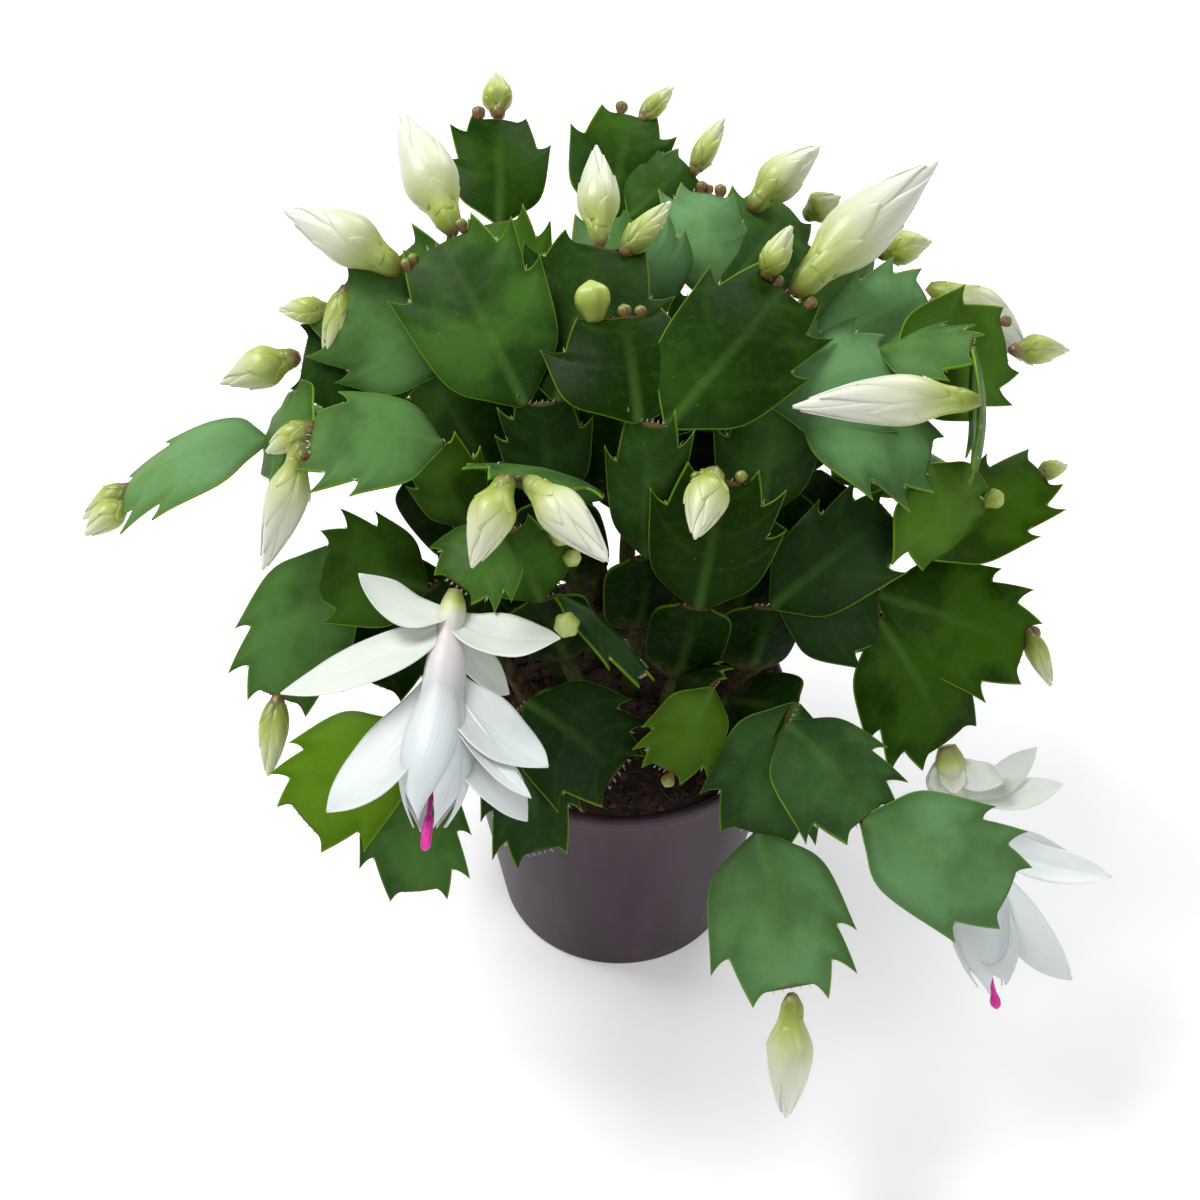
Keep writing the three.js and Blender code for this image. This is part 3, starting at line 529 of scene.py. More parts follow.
for i in range(DRAINS):
    a = 2 * np.pi * (i + 0.5) / DRAINS
    x, y = DRAIN_CIRCLE * np.cos(a), DRAIN_CIRCLE * np.sin(a)
    drill = Heap()
    drill.add(*spindle(tube([[x, y, z] for z in (-4, 3, 8)], [DRAIN_RADIUS] * 3, 28)))
    tool = placed("drill", drill.mesh("drill"))
    cut = pot.modifiers.new("cut", "BOOLEAN")
    cut.operation, cut.object, cut.solver = "DIFFERENCE", tool, "EXACT"
    made = bpy.data.meshes.new_from_object(pot.evaluated_get(bpy.context.evaluated_depsgraph_get()))
    pot.modifiers.clear()
    pot.data = made
    bpy.data.objects.remove(tool)
pot.data.name = "pot_wall"
print("pot:", len(pot.data.polygons), "faces")

# %% [markdown]
# ## The peat
# The heap is a round sheet whose height falls with the square of the radius, roughened by a sum
# of waves. Crumbs lie on it, and loose fibres stand out round the rim, as in the photograph.

# %% The heap and its crumbs
SOIL_CROWN, SOIL_FALL, SOIL_SIDES = 97.0, 0.0045, 168
SOIL_FLOOR = 3.65                # height of the flat underside


def soil_height(r):
    """Height of the heap: 97 mm on the axis, less 0.0045 times the radius squared."""
    return SOIL_CROWN - SOIL_FALL * r * r


def rough(x, y):
    """A sum of 14 waves of growing pitch and falling size, in random directions."""
    k = np.arange(14)
    turn, phase = (draw(k, seed) * 2 * np.pi for seed in (1.0, 6.0))
    pitch, size = 0.16 * 1.28**k, 0.55 / 1.16**k
    way = x[..., None] * np.cos(turn) + y[..., None] * np.sin(turn)
    return (size * np.sin(pitch * way + phase)).sum(-1)


r = np.concatenate([[0.4], np.linspace(1.5, 46.4, 62)])[:, None]
a = circle(SOIL_SIDES)
x, y = r * np.cos(a), r * np.sin(a)
calm = np.clip((46.6 - r) / 3.0, 0.25, 1)       # the waves are lower near the wall
sag = 1.2 * (r > 43) * (r - 43) / 3.4           # and the last few millimetres fall away
top = np.stack([x, y, soil_height(r) - sag + calm * rough(x, y)], -1)
wall = turned([[46.0, 82.5], [inner_radius(40) - 0.7, 40],
               [inner_radius(SOIL_FLOOR) - 0.7, SOIL_FLOOR], [20, SOIL_FLOOR], [0.5, SOIL_FLOOR]],
              SOIL_SIDES)
heap = Heap()
heap.add(*spindle(np.concatenate([top, wall])), fibre=0.15)
heap.build("peat_heap", PEAT, replaces="soil", slot="soil")

CRUMBS = 900
k = np.arange(CRUMBS)
r, a = 46.5 * np.sqrt(draw(k, 2)), 2 * np.pi * draw(k, 3)
size = 0.5 + 1.5 * draw(k, 4) ** 2.5
x, y = r * np.cos(a), r * np.sin(a)
centre = np.stack([x, y, soil_height(r) + rough(x, y) * 0.8], -1)
lat, lon = np.array([-0.9, -0.3, 0.4, 0.95])[:, None], np.arange(5) * 2 * np.pi / 5
ball = np.stack([np.cos(lat) * np.cos(lon), np.cos(lat) * np.sin(lon), np.sin(lat) + 0 * lon], -1)
crumbs = Heap()
for c, s, seed in zip(centre, size, k):
    dent = 0.75 + 0.5 * draw(seed + np.arange(20) * 1.7, 6).reshape(4, 5)
    crumbs.add(*spindle(c + ball * dent[..., None] * s * np.array([1.15, 0.9, 0.75])),
               fibre=float(draw(seed, 7) ** 2))
crumbs.build("peat_crumbs", PEAT, slot="soil")
print("peat: heap and", CRUMBS, "crumbs")

# %% Fibres, most of them round the rim
FIBRES, FIBRE_EDGE = 420, 46.3   # how many, and the radius that none of them passes
fibres = Heap()
for k in range(FIBRES):
    d = [float(draw(k, q)) for q in range(11, 19)]
    r, a = (38 + 8.2 * d[0] if k % 3 else 44 * np.sqrt(d[0])), 2 * np.pi * d[1]
    start = np.array([r * np.cos(a), r * np.sin(a), soil_height(r) + 0.2])
    turn, length = 2 * np.pi * d[2], 4 + 11 * d[3] ** 1.5
    way = np.array([np.cos(turn), np.sin(turn), 0.0])
    t = np.linspace(0, 1, 7)[:, None]
    lift = np.array([0, 0, 1.0]) * (0.8 + 2.6 * d[4]) * np.sin(np.pi * t)
    curl = np.cross(way, [0, 0, 1]) * (d[5] - 0.5) * length * 0.7 * t**2
    path = start + way * length * t + curl + lift
    far = np.linalg.norm(path[:, :2], axis=1, keepdims=True)
    path[:, :2] *= np.minimum(1, FIBRE_EDGE / far)
    path[:, 2:] = np.maximum(path[:, 2:], soil_height(np.minimum(far, FIBRE_EDGE)) - 0.3)
    radii = 0.10 + 0.13 * d[6] * (1 - t[:, 0] * 0.8)
    fibres.add(*spindle(tube(path, radii, 4)), fibre=0.5 + 0.5 * d[7])
fibres.build("peat_fibres", PEAT, slot="soil")
print("fibres:", FIBRES)

# %% [markdown]
# ## How the plant grows
# These rows are the same driving sizes as in the solids. Each row is one segment: its name, what it
# grows from, where along that segment's end, its tip in millimetres, its width, the azimuth and
# elevation that its face looks at, and its arch as a share of its length. A stem's first row
# grows from a place in the peat.

# %% Growth rows
STEMS = {
    "crown": [
        ["a1", [3, -9], 0, [4, -13, 126], 15, -90, 20, 0],
        ["a2", "a1", 0, [6, -17, 158], 22, -70, 20, 0.03],
        ["a3", "a2", 0, [7, -12, 199], 22, -100, 20, 0.05],
        ["S8", "a3", -0.5, [0, 17, 209], 41, -90, 78, 0.06],
        ["S6", "a3", 0.6, [43, 33, 206], 36, -90, 48, 0.06],
    ],
    "top": [
        ["b1", [-8, 3], 0, [-12, 3, 128], 15, -90, 20, 0],
        ["b2", "b1", 0, [-19, 0, 162], 24, -100, 20, 0.03],
        ["b3", "b2", 0, [-21, 4, 192], 24, -90, 30, 0.04],
        ["S7", "b3", 0.6, [-6, 51, 207], 42, -90, 60, 0.06],
        ["S1", "b3", -0.6, [-47, 43, 215], 38, -95, 50, 0.06],
        ["C5", "b2", 0, [-24, -28, 194], 34, -90, 75, 0.1],
    ],
    "left": [
        ["c1", [-18, -4], 0, [-30, -9, 124], 15, -100, 30, 0],
        ["c2", "c1", 0, [-42, -7, 160], 22, -80, 30, 0.04],
        ["c3", "c2", 0, [-48, -7, 187], 20, -80, 35, 0.04],
        ["C1", "c3", 0.3, [-80, -8, 189], 34, -85, 85, 0.08],
        ["C3", "C1", -0.6, [-95, 13, 171], 30, -100, 60, 0.05],
        ["C2", "C3", 0, [-137, 16, 150], 32, -90, 88, 0.08],
    ],
    "upper_left": [
        ["s1", [-16, 10], 0, [-24, 12, 128], 14, -100, 30, 0],
        ["s2", "s1", 0, [-36, 16, 160], 26, -110, 30, 0.04],
        ["s3", "s2", 0, [-50, 22, 188], 30, -110, 40, 0.05],
        ["S3", "s3", 0.4, [-77, 37, 200], 34, -95, 50, 0.05],
        ["S5", "s3", -0.5, [-86, 31, 186], 32, -100, 45, 0.06],
    ],
    "back_left": [
        ["d1", [-12, 19], 0, [-18, 28, 126], 15, -90, 30, 0],
        ["d2", "d1", 0, [-27, 50, 162], 26, -90, 50, 0.04],
        ["d3", "d2", 0, [-35, 87, 191], 30, -90, 50, 0.06],
        ["A1", "d3", 0, [-36, 121, 203], 29, -80, 45, 0.05],
        ["S4", "d2", -0.6, [-63, 72, 190], 34, -110, 50, 0.05],
    ],
    "back": [
        ["e1", [2, 22], 0, [2, 33, 126], 15, -90, 30, 0],
        ["e2", "e1", 0, [0, 54, 163], 26, -90, 50, 0.04],
        ["e3", "e2", 0, [-5, 93, 188], 28, -90, 50, 0.05],
        ["A2", "e3", 0.1, [3, 125, 202], 31, -80, 45, 0.05],
        ["A3", "e3", 0.9, [20, 113, 192], 24, -70, 50, 0.05],
    ],
    "back_right": [
        ["g1", [16, 16], 0, [20, 23, 122], 15, -90, 30, 0],
        ["g2", "g1", 0, [26, 36, 156], 26, -80, 40, 0.04],
        ["g3", "g2", -0.2, [22, 54, 190], 30, -80, 40, 0.04],
        ["A4", "g3", 0, [24, 86, 201], 28, -70, 45, 0.05],
        ["A5", "g3", -0.8, [3, 60, 204], 24, -90, 40, 0.04],
        ["A6", "g3", 0.8, [49, 97, 188], 32, -70, 50, 0.05],
    ],
    "right": [
        ["h1", [27, 6], 0, [35, 10, 120], 15, -80, 30, 0],
        ["h2", "h1", 0, [45, 22, 148], 26, -80, 45, 0.04],
        ["h3", "h2", 0, [50, 47, 176], 30, -80, 50, 0.04],
        ["R2", "h3", 0.3, [86, 65, 181], 29, -85, 50, 0.05],
        ["R1", "h3", -0.6, [72, 77, 186], 28, -20, 10, 0.05],
    ],
    "upper_right": [
        ["i1", [24, -6], 0, [31, -6, 122], 15, -80, 30, 0],
        ["i2", "i1", 0, [37, 2, 154], 22, -80, 30, 0.03],
        ["i3", "i2", 0, [39, 9, 189], 28, -80, 35, 0.04],
        ["R3", "i3", -0.2, [70, 21, 191], 34, -85, 65, 0.06],
        ["R4", "R3", 0.3, [104, 36, 186], 34, -80, 40, 0.05],
        ["R5", "R3", -0.4, [91, 18, 199], 22, -90, 85, 0.04],
        ["R6", "R5", 0, [91, -5, 175], 20, 0, 5, 0.06],
        ["R7", "i3", 0.7, [81, 2, 174], 34, -90, 75, 0.06],
        ["R8", "R7", 0.2, [88, -6, 149], 32, -60, 30, 0.08],
        ["R9", "R8", -0.6, [116, 20, 154], 25, -90, 60, 0.05],
    ],
    "lower_right": [
        ["j1", [31, -13], 0, [36, -16, 112], 15, -80, 30, 0],
        ["j2", "j1", 0, [39, -16, 138], 22, -80, 35, 0.03],
        ["R10", "j2", 0.2, [73, 3, 154], 28, -90, 60, 0.06],
        ["R11", "j2", 0.5, [70, -13, 135], 32, -90, 50, 0.06],
        ["R12", "R11", -0.3, [113, -10, 115], 34, -80, 50, 0.08],
        ["R13", "R11", 0.4, [90, -31, 99], 37, -70, 40, 0.08],
    ],
    "front_centre": [
        ["f1", [13, -19], 0, [15, -24, 118], 15, -90, 20, 0],
        ["f2", "f1", 0, [19, -28, 150], 22, -90, 30, 0.03],
        ["C10", "f2", 0.1, [25, -21, 188], 33, -90, 40, 0.05],
        ["f4", "f1", 0.6, [24, -39, 130], 16, -90, 60, 0.04],
        ["L2", "f4", 0, [11, -53, 113], 22, -60, 40, 0.06],
    ],
    "front_right": [
        ["k1", [26, -27], 0, [29, -27, 112], 14, -90, 20, 0],
        ["k2", "k1", 0, [45, -43, 124], 24, -80, 60, 0.04],
        ["RB1", "k2", 0.5, [36, -62, 97], 33, -90, 40, 0.06],
        ["RB3", "RB1", 0, [44, -99, 79], 37, -90, 60, 0.06],
        ["RB2", "k2", -0.4, [64, -68, 112], 32, -60, 45, 0.05],
        ["RB4", "RB2", -0.2, [102, -77, 92], 34, -80, 45, 0.08],
    ],
    "front": [
        ["l1", [-8, -31], 0, [-18, -36, 106], 14, -90, 30, 0],
        ["l2", "l1", 0, [-28, -42, 125], 20, -90, 40, 0.03],
        ["L1", "l2", 0.5, [-1, -54, 113], 34, -70, 60, 0.06],
        ["L5", "l2", -0.4, [-22, -68, 97], 26, -60, 50, 0.06],
    ],
    "lower_left": [
        ["m1", [-27, -14], 0, [-35, -17, 120], 15, -110, 30, 0],
        ["m2", "m1", 0, [-52, -20, 149], 26, -110, 40, 0.04],
        ["L10", "m2", 0, [-79, -17, 156], 30, -100, 55, 0.06],
        ["L8", "L10", -0.4, [-92, -38, 125], 30, -100, 15, 0.08],
        ["L9", "m2", -0.8, [-66, -36, 128], 28, -100, 40, 0.06],
    ],
    "front_left": [
        ["p1", [-24, -28], 0, [-38, -37, 110], 14, -100, 30, 0],
        ["p2", "p1", 0, [-58, -53, 128], 22, -100, 50, 0.04],
        ["L6", "p2", -0.4, [-84, -66, 108], 32, -110, 45, 0.07],
        ["L7", "p2", 0.6, [-54, -74, 88], 28, -80, 45, 0.06],
    ],
    "bloom": [
        ["n1", [-11, -18], 0, [-15, -23, 124], 15, -90, 20, 0],
        ["n2", "n1", 0, [-21, -25, 150], 22, -90, 30, 0.03],
        ["n3", "n2", -0.1, [-29, -23, 172], 24, -90, 40, 0.03],
        ["C6", "n3", -0.2, [-42, -37, 166], 24, -90, 70, 0.08],
        ["C7", "n2", 0.5, [5, -42, 138], 18, 60, 60, 0.05],
    ],
    "rear_left": [
        ["o1", [-30, 16], 0, [-40, 24, 118], 15, 150, 30, 0],
        ["o2", "o1", 0, [-58, 36, 142], 26, 150, 50, 0.04],
        ["o3", "o2", -0.3, [-82, 50, 150], 32, 150, 75, 0.08],
        ["o4", "o3", 0, [-96, 72, 128], 32, 130, 40, 0.08],
        ["o5", "o2", 0.6, [-62, 66, 128], 32, 110, 45, 0.08],
    ],
    "rear": [
        ["q1", [-6, 34], 0, [-10, 46, 118], 15, 90, 30, 0],
        ["q2", "q1", 0, [-20, 72, 138], 26, 90, 50, 0.04],
        ["q3", "q2", 0.3, [-30, 104, 140], 33, 95, 80, 0.08],
        ["q4", "q3", 0, [-34, 132, 116], 34, 95, 40, 0.08],
        ["q5", "q2", -0.6, [-52, 92, 128], 32, 120, 60, 0.08],
    ],
    "rear_right": [
        ["r1", [16, 32], 0, [22, 46, 118], 15, 80, 30, 0],
        ["r2", "r1", 0, [30, 72, 138], 26, 80, 50, 0.04],
        ["r3", "r2", -0.3, [40, 102, 140], 33, 80, 80, 0.08],
        ["r4", "r3", 0, [46, 130, 114], 34, 80, 40, 0.08],
        ["r5", "r2", 0.6, [62, 88, 122], 32, 50, 50, 0.08],
    ],
    "right_rear": [
        ["t1", [34, 14], 0, [44, 20, 116], 15, 40, 30, 0],
        ["t2", "t1", 0, [62, 36, 138], 26, 40, 50, 0.04],
        ["t3", "t2", 0, [88, 52, 132], 32, 40, 75, 0.08],
        ["t4", "t3", 0, [106, 66, 104], 32, 40, 35, 0.08],
    ],
    "low_left": [
        ["u1", [-35, -2], 0, [-46, 2, 110], 14, 170, 30, 0],
        ["u2", "u1", 0, [-70, 12, 120], 28, 170, 60, 0.06],
        ["u3", "u2", 0, [-88, 30, 98], 32, 160, 40, 0.08],
    ],
    "low_right": [
        ["w1", [38, 2], 0, [50, 4, 106], 14, 10, 30, 0],
        ["w2", "w1", 0, [76, 12, 112], 28, 10, 60, 0.06],
        ["w3", "w2", 0, [96, 26, 90], 32, 20, 40, 0.08],
    ],
}

# %% Work out every segment's frame
CUP = 0.12


def looking(azimuth, elevation):
    """A unit vector from an azimuth and an elevation in degrees."""
    a, e = np.radians(azimuth), np.radians(elevation)
    return np.array([np.cos(e) * np.cos(a), np.cos(e) * np.sin(a), np.sin(e)])


def surface(s, u, v):
    """Middle surface: start + along L u + side (W/2) v + face (4 arch L u(1-u) - cup (W/2) v^2)."""
    u, v = np.asarray(u, float)[..., None], np.asarray(v, float)[..., None]
    rise = 4 * s["arch"] * s["length"] * u * (1 - u) - CUP * 0.5 * s["width"] * v * v
    return (s["start"] + s["along"] * s["length"] * u + s["side"] * 0.5 * s["width"] * v
            + s["face"] * rise)


segments = {}
for rows in STEMS.values():
    for k, (name, source, offset, tip, width, azimuth, elevation, arch) in enumerate(rows):
        rooted = isinstance(source, list)
        start = (np.array([*source, soil_height(np.hypot(*source)) + 2]) if rooted
                 else surface(segments[source], 0.975, offset * 0.6))
        along = np.array(tip, float) - start
        length = np.linalg.norm(along)
        along = along / length
        face = looking(azimuth, elevation)
        face = unit(face - along * (face @ along))
        side = np.cross(along, face)
        # v runs towards the photograph's right
        side = side if side[0] - 0.35 * side[1] >= 0 else -side
        segments[name] = {"name": name, "start": start, "end": np.array(tip, float), "along": along,
                          "face": face, "side": side, "length": length,
                          "width": 5 if rooted else width,
                          "arch": arch, "seed": 3.7 * k + tip[0] + 0.3 * tip[1],
                          "foot": source if rooted else None,
                          "inner": len(name) == 2 and name[1] == "2" and name[0].islower()}
longest = max(s["length"] for s in segments.values())
print("segments:", len(segments), "longest", round(longest, 1), "mm")

# %% [markdown]
# ## One segment
# Half an outline is a few named corners. Between two corners the edge is a quadratic curve: it
# bulges on its way up to a tooth and is hollow behind it. A sheet is then laid between the midrib
# and both outlines. Its cross lines leave the midrib and sweep forwards to the teeth, as the real
# veins do, so the same lines carry the veins.

# %% Half outlines with forward teeth
THREE_TEETH = [
    [0.00, 0.07], [0.09, 0.38], [0.27, 0.84], [0.68, 1.10], [0.625, 0.82],
    [0.97, 0.98], [0.86, 0.65], [1.09, 0.50], [0.985, 0.34],
]
TWO_TEETH = [
    [0.00, 0.07], [0.09, 0.38], [0.27, 0.84], [0.82, 1.08], [0.74, 0.78],
    [1.06, 0.58], [0.985, 0.34],
]
WORN = [[0.00, 0.12], [0.30, 0.90], [0.80, 0.96], [0.98, 0.40]]

ROWS = 64
SHARES = {9: [7, 9, 12, 5, 11, 5, 9, 5], 7: [7, 10, 17, 6, 15, 8], 4: [21, 25, 17]}
TIPS = {9: (28, 44, 58), 7: (34, 55), 4: (21,)}
HOLLOWS = {9: (33, 49, 63), 7: (40, 63), 4: (46,)}


def half_outline(corners):
    """Rows of (u, v): smooth to the first tooth, then (1-t)^2 a + 2t(1-t) c + t^2 b a stretch."""
    corners = np.array(corners, float)
    counts = SHARES[len(corners)]
    first = min(3, len(corners) - 1)
    reach = np.append(0, np.cumsum(np.linalg.norm(np.diff(corners[:first + 1], axis=0), axis=1)))
    t = np.concatenate([np.linspace(reach[k], reach[k + 1], counts[k], endpoint=False)
                        for k in range(first)])
    parts = [np.stack([flow(np.stack([reach, corners[:first + 1, q]], -1), t) for q in (0, 1)], -1)]
    for k in range(first, len(corners) - 1):
        a, b = corners[k], corners[k + 1]
        # outwards on the outer side of a tooth; inwards and back in the hollow behind it
        c = (a + b) / 2 + np.array((0.0, 0.030) if b[0] > a[0] else (-0.042, -0.020))
        t = np.linspace(0, 1, counts[k], endpoint=False)[:, None]
        parts.append((1 - t) ** 2 * a + 2 * t * (1 - t) * c + t**2 * b)
    return np.concatenate(parts + [corners[-1:]])


T = np.array([0, 0.05, 0.12, 0.22, 0.36, 0.52, 0.68, 0.82, 0.91, 0.965, 1.0])
MIDRIB = 0.985 * (np.arange(ROWS) / (ROWS - 1.0)) ** 1.15
print("a segment has", ROWS, "x", 2 * len(T) - 1, "points a side")

# %% The sheet of one segment, thick along its midrib and thin at its margin
# Tone and painted sheen of the segments that the photograph shows plainly. The others are drawn.
LOOKS = {
    "C2": (1.0, 1.0), "L6": (0.95, 0.0), "L2": (0.80, 0.1), "A4": (0.5, 1.0), "A5": (0.55, 1.0),
    "R2": (0.42, 1.0), "R3": (0.42, 1.0), "R7": (0.45, 0.9), "R4": (0.55, 0.1), "R8": (0.66, 0.1),
    "R6": (0.62, 0.6), "R1": (0.52, 0.3), "S1": (0.31, 0.12), "S3": (0.5, 0.5),
    "S6": (0.17, 0.03), "S7": (0.10, 0.03), "S8": (0.06, 0.0), "C10": (0.14, 0.0),
    "C1": (0.44, 0.45), "C5": (0.50, 0.5), "C6": (0.52, 0.3), "RB1": (0.26, 0.45),
    "RB2": (0.26, 0.45), "RB3": (0.55, 1.0), "RB4": (0.55, 1.0), "R12": (0.36, 0.0),
    "R13": (0.33, 0.0), "R11": (0.13, 0.2), "R10": (0.13, 0.2), "L1": (0.14, 0.2),
    "L8": (0.50, 0.4), "L9": (0.08, 0.0), "L10": (0.45, 0.1), "L7": (0.40, 0.3),
    "A1": (0.16, 0.0), "A2": (0.24, 0.03), "A3": (0.42, 0.2), "A6": (0.35, 0.2),
    "S5": (0.15, 0.1),
}
PLANT_MIDDLE, SHADE_REACH = np.array([0, 0, 105.0]), 110     # painted shade, deepest at the plant's middle and gone at this reach
THIN = 0.28                      # half the thickness at the margin


def segment_sheet(s):
    """Front and back grids of a segment, its two outlines, and the readings of its finish."""
    swap = draw(s["seed"], 2) > 0.5
    halves, corners = [], []
    for hand in (1, -1):
        outline = WORN if s["inner"] else THREE_TEETH if (hand > 0) == swap else TWO_TEETH
        slip = 0 if s["inner"] else 0.07 * (draw(s["seed"], hand) - 0.5)
        rows = [[u + (slip if i in (3, 4) else 0), v] for i, (u, v) in enumerate(outline)]
        halves.append(half_outline(rows))
        corners.append(len(outline))
    t, down, row = T[None, :], MIDRIB[:, None], np.arange(ROWS)[:, None]
    u = [down + (h[:, :1] - down) * t**2.4 for h in halves]
    v = [halves[0][:, 1:] * t, -halves[1][:, 1:] * t]
    near = [(1 - t) * h[:, 1:] * 0.5 * s["width"] for h in halves]
    vein = [sum(np.exp(-((row - tip + 1) / 1.1) ** 2) for tip in TIPS[n])
            * (0.25 + 0.75 * t) * (1 - t**6) for n in corners]
    U, V, near, vein = (np.concatenate([left[:, :0:-1], right], 1)
                        for right, left in (u, v, near, vein))
    tt = np.concatenate([T[:0:-1], T])[None, :]
    rib = np.abs(V) * 0.5 * s["width"]
    swell = np.sin(np.pi * np.clip(down, 0.02, 1)) ** 0.8
    middle = 0.5 * (1.5 + (1.9 if s["inner"] else 1.5) * swell)
    half = THIN + (middle - THIN) * (1 - tt**1.6) ** 0.9
    ridge = np.exp(-(rib / 1.15) ** 2) * (1 - 0.8 * down)
    p1, p2, p3 = (draw(s["seed"], q) * LAP for q in (21, 22, 23))
    wave = (0.24 * np.sin(5.5 * U + 1.5 * V + p1) * np.abs(V)
            + 0.08 * np.sin(11 * U - 2 * V + p2) * tt**2 + 0.5 * np.sin(2.6 * V + p3) * U)
    fine = 0.02 * np.sin(23 * U + 5 * V + p1) * np.sin(11 * V + p2) * (1 - tt**4)
    sheet = surface(s, U, V) + s["face"] * (wave * (0.4 if s["inner"] else 1.0))[..., None]
    front = sheet + s["face"] * (half + 0.24 * ridge + fine + 0.03 * vein)[..., None]
    back = sheet - s["face"] * (half + 0.34 * ridge + fine - 0.02 * vein)[..., None]
    scar = np.clip((row - 60.5) / 2.5, 0, 1) * (1 - tt**5) + np.clip((2.0 - row) / 2.5, 0, 1)
    marks = {"edge": near, "rib": rib, "along": U, "vein": vein, "scar": scar}
    return front, back, halves, corners, marks


def grow_segment(heap, s):
    """Adds a segment, darkened by painted shade near the plant's middle. An inner one is woody at
    its foot.
    """
    front, back, halves, corners, marks = segment_sheet(s)
    # a look is the segment's tone and its painted sheen, from LOOKS or drawn
    drawn = 0.28 + 0.38 * draw(s["seed"], 31), 0.55 * draw(s["seed"], 32)
    tone, wax = LOOKS.get(s["name"], drawn)
    # painted shade: segments nearer the middle of the plant get a lower tone and less sheen
    inner_shade = max(0.0, 1 - np.linalg.norm(surface(s, 0.5, 0.0) - PLANT_MIDDLE) / SHADE_REACH)
    tone, wax = tone - (0.25 if s["name"] in LOOKS else 0.70) * inner_shade, wax * (1 - inner_shade)
    wood = 0.0
    if s["inner"]:
        tone, wax, wood = -0.3, 0.0, np.clip(0.75 - 1.3 * marks["along"], 0, 1)
    heap.add_sheet(front, back, tone=tone, wax=wax, wood=wood, **marks)
    return halves, corners


def grow_foot(heap, s):
    """The round woody foot: a tube from the bottom of its hole to the first joint, with ridges."""
    x, y = s["foot"]
    top = soil_height(np.hypot(x, y))
    joint = s["end"] + s["along"] * 1.5
    t = np.linspace(0, 1, 18)
    path = np.stack([flow([[0, x], [0.5, x], [1, joint[0]]], t),
                     flow([[0, y], [0.5, y], [1, joint[1]]], t),
                     flow([[0, top - 11], [0.38, top + 2.5], [1, joint[2]]], t)], -1)
    radii = flow([[0, 2.6], [0.4, 2.7], [0.8, 2.2], [1, 1.9]], t)
    radii = radii * (1 + 0.06 * np.sin(19 * t + s["seed"]))
    heap.add(*spindle(tube(path, radii, 16, 0.07)),
             wood=1.0, rib=NO_EDGE, edge=NO_EDGE, along=t.mean())


# %% Grow every leafy stem
hairs = Heap()


def bristles(s, u, v, out, count, seed, longest=1.7):
    """A tuft of fine hairs from one place on the margin, fanned round the way out."""
    root = surface(s, u, v)
    for q in range(count):
        d = [float(draw(seed + q, w)) for w in (41, 42, 43)]
        way = unit(out + s["side"] * (d[0] - 0.5) * 1.3 + s["along"] * (d[1] - 0.3) * 0.9
                   + s["face"] * (d[2] - 0.5) * 1.2)
        t = np.linspace(0, 1, 4)[:, None]
        path = (root + way * (0.6 + (longest - 0.6) * d[1]) * t
                + s["face"] * 0.25 * (d[0] - 0.5) * t**2)
        hairs.add(*spindle(tube(path, [0.085, 0.07, 0.05, 0.02], 3)),
                  tip=np.append(np.repeat(t[:, 0], 3), [0, 1]))


for name, rows in STEMS.items():
    name, stem = "leafy_stem_" + name, Heap()
    for row in rows:
        s = segments[row[0]]
        if s["foot"]:
            grow_foot(stem, s)
            continue
        halves, corners = grow_segment(stem, s)
        for hand, h, n in zip((1, -1), halves, corners):
            for k in HOLLOWS[n][:-1]:
                bristles(s, h[k, 0], hand * h[k, 1], s["side"] * hand * 0.6 + s["along"], 4,
                         s["seed"] + k)
        for q in range(5):
            bristles(s, 0.985, -0.26 + 0.13 * q, s["along"], 3, s["seed"] + 70 + q, 1.4)
    stem.build(name + "_segments", GREEN, replaces=name, slot="stem_green")
print("stems:", len(STEMS), "segments each with", 2 * ROWS * (2 * len(T) - 1), "points")

# %% The hairs' own finish, then their piece
def hair_finish():
    """Tan at the root, nearly white at the tip."""
    f = Finish("areole_hair")
    tip, fine = f.reading("tip"), f.noise(900, 2, 0.5)
    f.set(Base_Color=f.blend((0.230, 0.130, 0.060), (0.800, 0.780, 0.680), f.fade(tip, 0.0, 0.6)),
          Roughness=0.55 + fine * 0.2)
    return f.material


hairs.build("areole_hairs", hair_finish(), slot="stem_green")
print("hairs:", hairs.count // 14)

# %% [markdown]
# ## Buds
# A bud is a bullet: a brownish angular foot, and pointed scales that overlap upwards. The core is
# a spindle. Each scale is a patch of the same bullet, a little further out, whose border dips
# under the ones around it, so that only its edge shows as a fine step.

